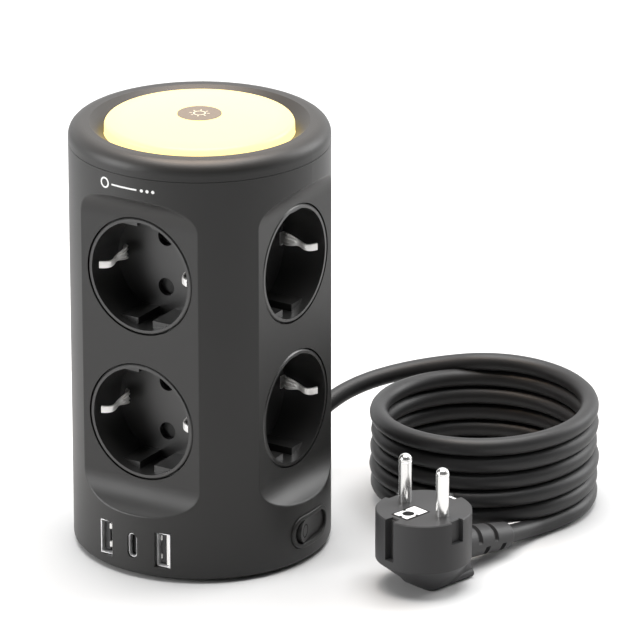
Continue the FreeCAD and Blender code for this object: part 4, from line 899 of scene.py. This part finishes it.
@dataclass
class RockerRing:
    """The off mark on the rocker: a dark ring that follows its hollow face."""

    pivot: float = 42.0
    face: float = 46.6
    hollow: float = 60.0
    tilt: float = 7.0
    across: float = -5.2
    height: float = 12.9
    radius: float = 2.1
    line: float = 0.5
    thick: float = 0.04
    sunk: float = 0.2

    def build(self) -> None:
        """Four circles joined in a closed band, pressed onto the hollow and tilted."""
        angle = np.linspace(0.0, 2.0 * np.pi, 48, endpoint=False)
        rings = []
        outer = self.radius + self.line
        for radius, proud in ((self.radius, self.thick), (outer, self.thick),
                              (outer, -self.sunk), (self.radius, -self.sunk)):
            y = self.across + radius * np.cos(angle)
            deep = self.hollow - np.sqrt(self.hollow ** 2 - y ** 2)
            rings.append(np.stack([self.face + deep + proud - self.pivot, y,
                                   self.height + radius * np.sin(angle)], -1))
        grid = np.stack(rings)
        cos, sin = math.cos(math.radians(self.tilt)), math.sin(math.radians(self.tilt))
        x = grid[..., 0] * cos - grid[..., 1] * sin + self.pivot
        y = grid[..., 0] * sin + grid[..., 1] * cos
        item = (Surface("rocker_ring")
                .patch(np.stack([x, y, grid[..., 2]], -1) * MM, close_rows=True,
                       close_columns=True).build([Finish.MARK]))
        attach(item, "rocker")


@dataclass(frozen=True)
class PortBar:
    """A bar inside a port: its outline across and up, its depths and its finish's slot."""

    left: float
    right: float
    low: float
    high: float
    deep: float
    end: float
    slot: int


@dataclass
class PortContacts:
    """Deep-black liners that paint the shade in the ports' depth, sprung tabs and contact bars
    inside the three ports.
    """

    middle: float = 12.1
    spacing: float = 12.1
    wide_front: float = 45.2
    small_front: float = 46.8
    corner: float = 0.18
    # The first bar of each port, in slot 1, is its liner: painted shade from 2.4 mm deep, 1.5 mm
    # in the small port, to the back.
    left: tuple[PortBar, ...] = (
        PortBar(-2.5, 2.5, -6.1, 6.1, 2.4, 9.0, 1), PortBar(1.75, 2.35, -6.0, 6.0, 0.3, 4.0, 0),
        PortBar(0.45, 1.6, 3.1, 5.1, 0.6, 2.6, 0), PortBar(0.45, 1.6, -4.0, -2.0, 0.6, 2.6, 0),
        PortBar(-0.5, 0.3, -5.4, 5.4, 1.5, 3.0, 2))
    right: tuple[PortBar, ...] = (
        PortBar(-2.5, 2.5, -6.1, 6.1, 2.4, 9.0, 1), PortBar(0.75, 2.35, -6.0, 6.0, 0.9, 4.0, 0),
        PortBar(-2.0, -1.3, 3.1, 5.0, 1.2, 2.6, 0), PortBar(-2.0, -1.3, -4.0, -2.2, 1.2, 2.6, 0),
        PortBar(-1.0, 0.2, -5.4, 5.4, 1.7, 3.0, 2))
    small: tuple[PortBar, ...] = (
        PortBar(-1.3, 1.3, -4.15, 4.15, 1.5, 9.0, 1), PortBar(0.1, 0.5, -3.2, 3.2, 1.0, 3.0, 2))

    def bar(self, bar: PortBar, across: float, front: float) -> np.ndarray:
        """A bar's outline with round corners, carried back from its front to its end."""
        half_x, half_z = 0.5 * (bar.right - bar.left), 0.5 * (bar.high - bar.low)
        outline = rounded_box(half_x, half_z, min(half_x, half_z) * 0.5, 5)
        middle = np.array([across + bar.left + half_x, self.middle + bar.low + half_z])
        rows = []
        for deep, shrink in ((bar.deep, 1.0 - self.corner / half_x),
                             (bar.deep + self.corner, 1.0), (bar.end, 1.0)):
            flat = outline * np.array([shrink, 1.0]) + middle
            rows.append(np.stack([flat[:, 0], np.full(len(flat), deep - front), flat[:, 1]], -1))
        return np.stack(rows) * MM

    def build(self) -> None:
        """All the ports' bars in one piece with three finishes."""
        surface = Surface("port_contacts")
        ports = ((self.left, -self.spacing, self.wide_front), (self.small, 0.0, self.small_front),
                 (self.right, self.spacing, self.wide_front))
        for bars, across, front in ports:
            for bar in bars:
                surface.patch(self.bar(bar, across, front), close_columns=True, cap_ends=True,
                              slot=bar.slot)
        item = surface.build([Finish.SPRING, Finish.MARK, Finish.TONGUE])
        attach(item, "tower")


@dataclass
class SwitchBezel:
    """The switch's rim: an oval collar whose crest follows the round body."""

    half_long: float = 12.0
    half_short: float = 6.4
    height: float = 12.9
    crest: float = 48.1
    follow: float = 0.9
    back: float = 33.5
    floor: float = 35.5
    rim: float = 1.75
    wall: float = 2.6
    outer_round: float = 0.45
    inner_round: float = 0.35

    def ring(self, inset: float) -> np.ndarray:
        """An oval inset from the collar's outside, with points along its straight sides."""
        half = self.half_short - inset
        corners = rounded_box(self.half_long - inset, half, half - 0.01, 9)
        pairs = zip(corners, np.roll(corners, -1, axis=0))
        return np.concatenate([np.linspace(start, end, 5, endpoint=False)
                               for start, end in pairs])

    def build(self) -> None:
        """Outer wall, rounded crest, inner wall and floor as rows of inset and height.

        The crest's distance from the axis is the root of the crest squared less a share of
        the sideways offset squared, so it dips towards the collar's two ends.
        """
        quarter = np.linspace(0.0, 0.5 * np.pi, 6)
        rows = [(0.0, None, self.back), (0.0, -self.wall, None)]
        rows += [(self.outer_round * (1.0 - math.cos(turn)),
                  self.outer_round * (math.sin(turn) - 1.0), None) for turn in quarter]
        rows += [(self.rim - self.inner_round * (1.0 - math.sin(turn)),
                  self.inner_round * (math.cos(turn) - 1.0), None) for turn in quarter]
        rows += [(self.rim, None, self.floor), (self.half_short - 0.02, None, self.floor)]
        grid = []
        for inset, rise, fixed in rows:
            flat = self.ring(inset)
            crest = np.sqrt(self.crest ** 2 - self.follow * flat[:, 0] ** 2)
            out = np.full(len(flat), fixed) if rise is None else crest + rise
            grid.append(np.stack([out, flat[:, 0], self.height + flat[:, 1]], -1))
        item = (Surface("switch_bezel").patch(np.stack(grid) * MM, close_columns=True,
                                              cap_ends=True).build([Finish.BODY], 40.0))
        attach(item, "tower")
        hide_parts("switch_case")


# ------------------------------------------------------------------ plug
@dataclass
class Plug:
    """The plug on its heel, pins up.  Its frame: X across the pins, Y to the lead, Z up."""

    middle: tuple[float, float] = (93.4, 2.2)
    turn: float = 75.3
    radius: float = 17.5
    face: float = 29.5
    skirt: float = 11.0
    heel_half: float = 7.8
    heel_front: float = -4.0
    heel_back: float = 20.0
    heel_corner: float = 3.0
    edge: float = 0.35
    guide: float = 15.6
    guide_half: float = 2.8
    guide_low: float = 20.9
    slot_floor: float = 14.1
    slot_half: float = 2.1
    slot_low: float = 13.8
    short_low: float = 19.0
    heel_levels: tuple[float, ...] = (2.0, 5.0, 8.0)
    skirt_bend: float = 0.25
    body_level: float = 25.0
    lip: float = 1.5
    lip_inset: float = 0.4
    lip_rise: float = 0.15
    lip_ends: tuple[float, float] = (2.5, 2.0)
    pin_half_pitch: float = 9.5
    pin_radius: float = 2.4
    pin_root: float = 2.0
    pin_seat: float = 8.0
    pin_length: float = 18.5
    pin_dome: float = 2.2
    pin_groove: float = 0.14
    plate: tuple[float, float, float, float] = (-3.4, 3.4, -11.8, -1.4)
    plate_shadow_margin: float = 0.7
    hole_at: float = -7.8
    hole: float = 2.2
    boot_start: float = 14.0
    boot_height: float = 11.2
    boot_drop: float = 9.2
    boot_length: float = 28.6
    boot_root: float = 6.6
    boot_tip: float = 4.9
    long_grooves: tuple[float, ...] = (9.7, 18.5)
    short_grooves: tuple[float, ...] = (14.3, 23.2)
    long_window: tuple[float, float] = (0.0, 1.45)
    short_window: tuple[float, float] = (2.15, 0.35)
    groove_half: float = 1.0
    groove_depth: float = 1.3
    groove_slope: float = 0.25
    groove_fade: float = 0.10
    boot_corner: float = 0.7

    @property
    def axes(self) -> Axes:
        """The plug's frame in the tower's frame."""
        return Axes.upright((self.middle[0] * MM, self.middle[1] * MM, 0.0),
                            math.radians(self.turn - 90.0))

    def angles(self) -> np.ndarray:
        """Directions round the plug, with a pair of them at each edge of a recess."""
        guide = math.asin(self.guide_half / self.radius)
        slot = math.asin(self.slot_half / self.radius)
        middles = np.repeat(np.arange(4) * 0.5 * np.pi, 2)
        reach = np.array([guide, guide, slot, slot] * 2) * np.array([1.0, -1.0] * 4)
        edges = (middles + reach)[:, None] + np.array([-1e-3, 1e-3])
        even = np.linspace(0.0, 2.0 * np.pi, 120, endpoint=False)
        return np.unique(np.round(np.concatenate([even, edges.ravel()]) % (2.0 * np.pi), 6))

    def heel(self, angle: np.ndarray) -> np.ndarray:
        """Distance from the plug's middle to the heel's outline in each direction."""
        half = 0.5 * (self.heel_back - self.heel_front)
        outline = rounded_box(self.heel_half, half, self.heel_corner, 12)
        outline = outline + np.array([0.0, self.heel_front + half])
        fine = np.concatenate([np.linspace(start, end, 30) for start, end
                               in zip(outline, np.roll(outline, -1, axis=0))])
        around = np.arctan2(fine[:, 1], fine[:, 0]) % (2.0 * np.pi)
        order = np.argsort(around)
        reach = np.hypot(fine[:, 0], fine[:, 1])
        return np.interp(angle, around[order], reach[order], period=2.0 * np.pi)

    def shell(self) -> np.ndarray:
        """The plug's body as a radius for each direction and height.

        Below the skirt the radius runs straight from the heel's outline to the circle.
        Above it the circle is cut back to a flat in each guide recess and in each slot.
        """
        angle = self.angles()
        cos, sin = np.cos(angle), np.sin(angle)
        heel = self.heel(angle)
        step = 0.02
        levels = [0.0, self.edge, *self.heel_levels, self.skirt - step,
                  self.skirt + self.skirt_bend, self.slot_low - step, self.slot_low + step,
                  self.short_low - step, self.short_low + step, self.guide_low - step,
                  self.guide_low + step, self.body_level, self.face - self.edge, self.face]
        rows = []
        for level in levels:
            share = min(1.0, level / self.skirt)
            radius = heel * (1.0 - share) + self.radius * share
            if level > self.guide_low:
                flat = self.guide / np.maximum(np.abs(cos), 0.1)
                inside = (np.abs(sin) * self.radius < self.guide_half)
                radius = np.where(inside, np.minimum(radius, flat), radius)
            narrow = np.abs(cos) * self.radius < self.slot_half
            low = np.where(sin < 0.0, self.slot_low, self.short_low)
            flat = self.slot_floor / np.maximum(np.abs(sin), 0.1)
            radius = np.where(narrow & (level > low), np.minimum(radius, flat), radius)
            if level in (0.0, self.face):
                radius = radius - self.edge
            rows.append(np.stack([radius * cos, radius * sin, level + 0.0 * angle], -1))
        for share in (0.97, 0.5, 0.0):
            rows.append(rows[-1] * np.array([0.0, 0.0, 1.0])
                        + rows[len(levels) - 1] * np.array([share, share, 0.0]))
        rows.insert(0, rows[0] * np.array([0.0, 0.0, 1.0]))
        return self.axes.world(np.stack(rows) * MM)

    def body(self) -> bpy.types.Object:
        """The shell with a round lip along each lower side of its heel."""
        surface = Surface("plug_shell").patch(self.shell(), close_columns=True)
        along = np.linspace(self.heel_front + self.lip_ends[0],
                            self.heel_back - self.lip_ends[1], 24)
        for side in (-1.0, 1.0):
            path = np.stack([np.full(24, side * (self.heel_half - self.lip_inset)), along,
                             np.full(24, self.lip + self.lip_rise)], -1)
            surface.patch(tube(path, self.lip, self.axes), close_columns=True, cap_ends=True)
        return self.finish(surface.build([Finish.PLUG], 30.0), "cord_black", "plug_body")

    def pins(self) -> bpy.types.Object:
        """Two turned pins: thin root, shank, a fine groove and a round end."""
        low = self.face - self.pin_seat
        top = self.face + self.pin_length
        shank = top - self.pin_dome
        groove = self.pin_radius - self.pin_groove
        turn = np.linspace(0.0, 0.5 * np.pi, 14)
        dome = np.stack([self.pin_radius * np.cos(turn), shank + self.pin_dome * np.sin(turn)],
                        -1)
        profile = [(0.0, low), (self.pin_root, low), (self.pin_root, self.face),
                   (self.pin_radius, self.face + 0.05), (self.pin_radius, shank - 0.6),
                   (groove, shank - 0.5), (groove, shank - 0.3),
                   (self.pin_radius, shank - 0.2), *map(tuple, dome)]
        surface = Surface("plug_round_pins")
        for side in (-1.0, 1.0):
            at = self.axes.world(np.array([side * self.pin_half_pitch, 0.0, 0.0]) * MM)
            surface.patch(turned(profile, Axes(at, np.eye(3)), 48), close_columns=True)
        return self.finish(surface.build([Finish.NICKEL]), "pin_nickel", "plug_pins")

    def earth_plate(self) -> bpy.types.Object:
        """The notched bright plate round the earth hole, a deep-black frame of painted shadow
        round it, a deep-black tube of painted shade in the hole, and the strip.

        The shadow frame, the tube and the plate are drawn a hair above one another.
        """
        left, right, front, back = self.plate
        middle = 0.5 * (front + back)
        notch, deep = 0.7, 0.7
        corners = np.array([
            (right, front), (right, middle - notch), (right - deep, middle - notch),
            (right - deep, middle + notch), (right, middle + notch), (right, back),
            (left, back), (left, middle + notch), (left + deep, middle + notch),
            (left + deep, middle - notch), (left, middle - notch), (left, front),
            (-notch, front), (-notch, front + deep), (notch, front + deep), (notch, front)])
        fine = np.concatenate([np.linspace(start, end, 12, endpoint=False) for start, end
                               in zip(corners, np.roll(corners, -1, axis=0))])
        away = fine - np.array([0.0, self.hole_at])
        around = away / np.linalg.norm(away, axis=1, keepdims=True)
        rim = np.array([0.0, self.hole_at]) + self.hole * around
        rows = [(rim, self.face + 0.06), (rim, self.face + 0.14), (fine, self.face + 0.14),
                (fine, self.face + 0.02)]
        grid = np.stack([np.concatenate([flat, np.full((len(flat), 1), level)], 1)
                         for flat, level in rows]) * MM
        surface = Surface("earth_plate").patch(self.axes.world(grid), close_columns=True)
        # A deep-black slab a little wider than the plate: painted shadow round its edge.
        grow = self.plate_shadow_margin
        shadow_frame = rounded_box(right + grow, 0.5 * (back - front) + grow, 0.4)
        shadow_frame = shadow_frame + np.array([0.0, middle])
        surface.patch(slab(shadow_frame, self.face - 0.3, self.face + 0.08, self.axes),
                      close_columns=True, cap_ends=True, slot=1)
        strip = rounded_box(1.9, 0.45, 0.2) + np.array([0.0, self.slot_floor + 0.6])
        surface.patch(slab(strip, self.short_low, self.face - 0.15, self.axes),
                      close_columns=True, cap_ends=True)
        # A deep-black tube in the earth hole: painted shade inside the hole.
        cup = Axes(self.axes.world(np.array([0.0, self.hole_at, 0.0]) * MM), np.eye(3))
        profile = [(0.0, self.face - 14.5), (2.9, self.face - 14.5), (2.9, self.face - 0.7)]
        surface.patch(turned(profile, cup, 32), close_columns=True, slot=1)
        item = surface.build([Finish.PLATE, Finish.MARK])
        return self.finish(item, "contact_steel", "plug_earth_socket")

    def boot(self) -> bpy.types.Object:
        """The tapered boot: long grooves over its top, short ones low on its sides.

        The radius falls evenly along the boot, less a groove's depth where a window along
        the boot and a window round it, both with short straight slopes, are open.
        """
        drop = math.radians(self.boot_drop)
        start = np.array([0.0, self.boot_start, self.boot_height])
        end = start + self.boot_length * np.array([0.0, math.cos(drop), -math.sin(drop)])
        axes = Axes.along(self.axes.world(start * MM), self.axes.world(end * MM))
        along = np.linspace(0.0, self.boot_length, 230)[:, None]
        angle = np.linspace(0.0, 2.0 * np.pi, 96, endpoint=False)[None, :]
        from_top = np.abs((angle - 0.5 * np.pi + np.pi) % (2.0 * np.pi) - np.pi)
        radius = self.boot_root + (self.boot_tip - self.boot_root) * along / self.boot_length
        radius = radius + 0.0 * angle
        windows = ((self.long_grooves, *self.long_window),
                   (self.short_grooves, *self.short_window))
        for spots, middle, reach in windows:
            around = np.clip((reach - np.abs(from_top - middle)) / self.groove_fade + 0.5,
                             0.0, 1.0)
            for spot in spots:
                near = np.clip((self.groove_half - np.abs(along - spot)) / self.groove_slope
                               + 0.5, 0.0, 1.0)
                radius = radius - self.groove_depth * near * around
        left = self.boot_length - along
        corner = self.boot_corner
        over = np.clip(corner - left, 0.0, corner)
        radius = radius - (corner - np.sqrt(corner ** 2 - over ** 2))
        skin = np.stack([radius * np.cos(angle), radius * np.sin(angle), along + 0.0 * angle], -1)
        root = skin[:1] * np.array([0.0, 0.0, 1.0])
        tip = skin[-1:] * np.array([0.4, 0.4, 1.0])
        point = skin[-1:] * np.array([0.0, 0.0, 1.0])
        grid = np.concatenate([root, skin, tip, point]) * MM
        item = Surface("plug_grooved_boot").patch(axes.world(grid), close_columns=True)
        return self.finish(item.build([Finish.PLUG], 40.0), "cord_black", "plug_boot")

    @staticmethod
    def finish(item: bpy.types.Object, slot: str, node: str) -> bpy.types.Object:
        """Rides a piece on the tower in place of a fixed piece."""
        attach(item, "tower")
        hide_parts(node)
        return item

    def build(self) -> list[bpy.types.Object]:
        """All pieces of the plug."""
        made = [self.body(), self.pins(), self.earth_plate(), self.boot()]
        LOG.info("plug: %d pieces", len(made))
        return made


# ------------------------------------------------------------------ dressing of the fixed pieces
DRESSING: dict[Finish, tuple[str, ...]] = {
    Finish.BODY: ("housing_shell", "top_ring", "base_plate", "switch_rocker"),
    Finish.WELL: tuple(f"socket_well_{index}" for index in range(1, 9)),
    Finish.SHUTTER: tuple(f"shutter_{index}" for index in range(1, 9)),
    Finish.SPRING: ("shutter_springs",),
    Finish.DARK_STRIP: ("plug_earth_clips",),
    Finish.LENS: ("lamp_lens",),
    Finish.TOUCH: ("touch_pad",),
    Finish.BOARD: ("led_board", "usb_board"),
    Finish.CHIP: ("led_chips",),
    Finish.RUBBER: ("rubber_feet",),
    Finish.STEEL: ("base_screws", "switch_pin"),
    Finish.CORE: ("contact_core",),
    Finish.BRASS: ("live_bus", "neutral_bus", "earth_bus"),
    Finish.PORT: ("usb_a_shell_left", "usb_a_shell_right", "usb_c_shell"),
    Finish.TONGUE: ("usb_a_tongues", "usb_c_tongue"),
    Finish.WIRE: ("mains_wires",),
}


def dress() -> None:
    """Gives each fixed piece its finish in every one of its material slots."""
    for finish, names in DRESSING.items():
        for name in names:
            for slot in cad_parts[name].material_slots:
                slot.material = finish.material()
        LOG.info("%s: %d pieces", finish.value.name, len(names))


def main() -> None:
    """Builds the studio, the lead with its gland and plug, then the rest."""
    logging.basicConfig(level=logging.INFO, format="%(message)s")
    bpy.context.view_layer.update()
    Studio().build()
    gland = Gland().build()
    plug = Plug().build()
    MainsLead().build([gland, *plug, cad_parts["plug_earth_clips"]])
    for piece in (EarthClips(), TouchIcon(), FrontMark(), RockerRing(), PortContacts(),
                  SwitchBezel()):
        piece.build()
        LOG.info("%s: built", type(piece).__name__)
    dress()


if __name__ == "__main__":
    main()
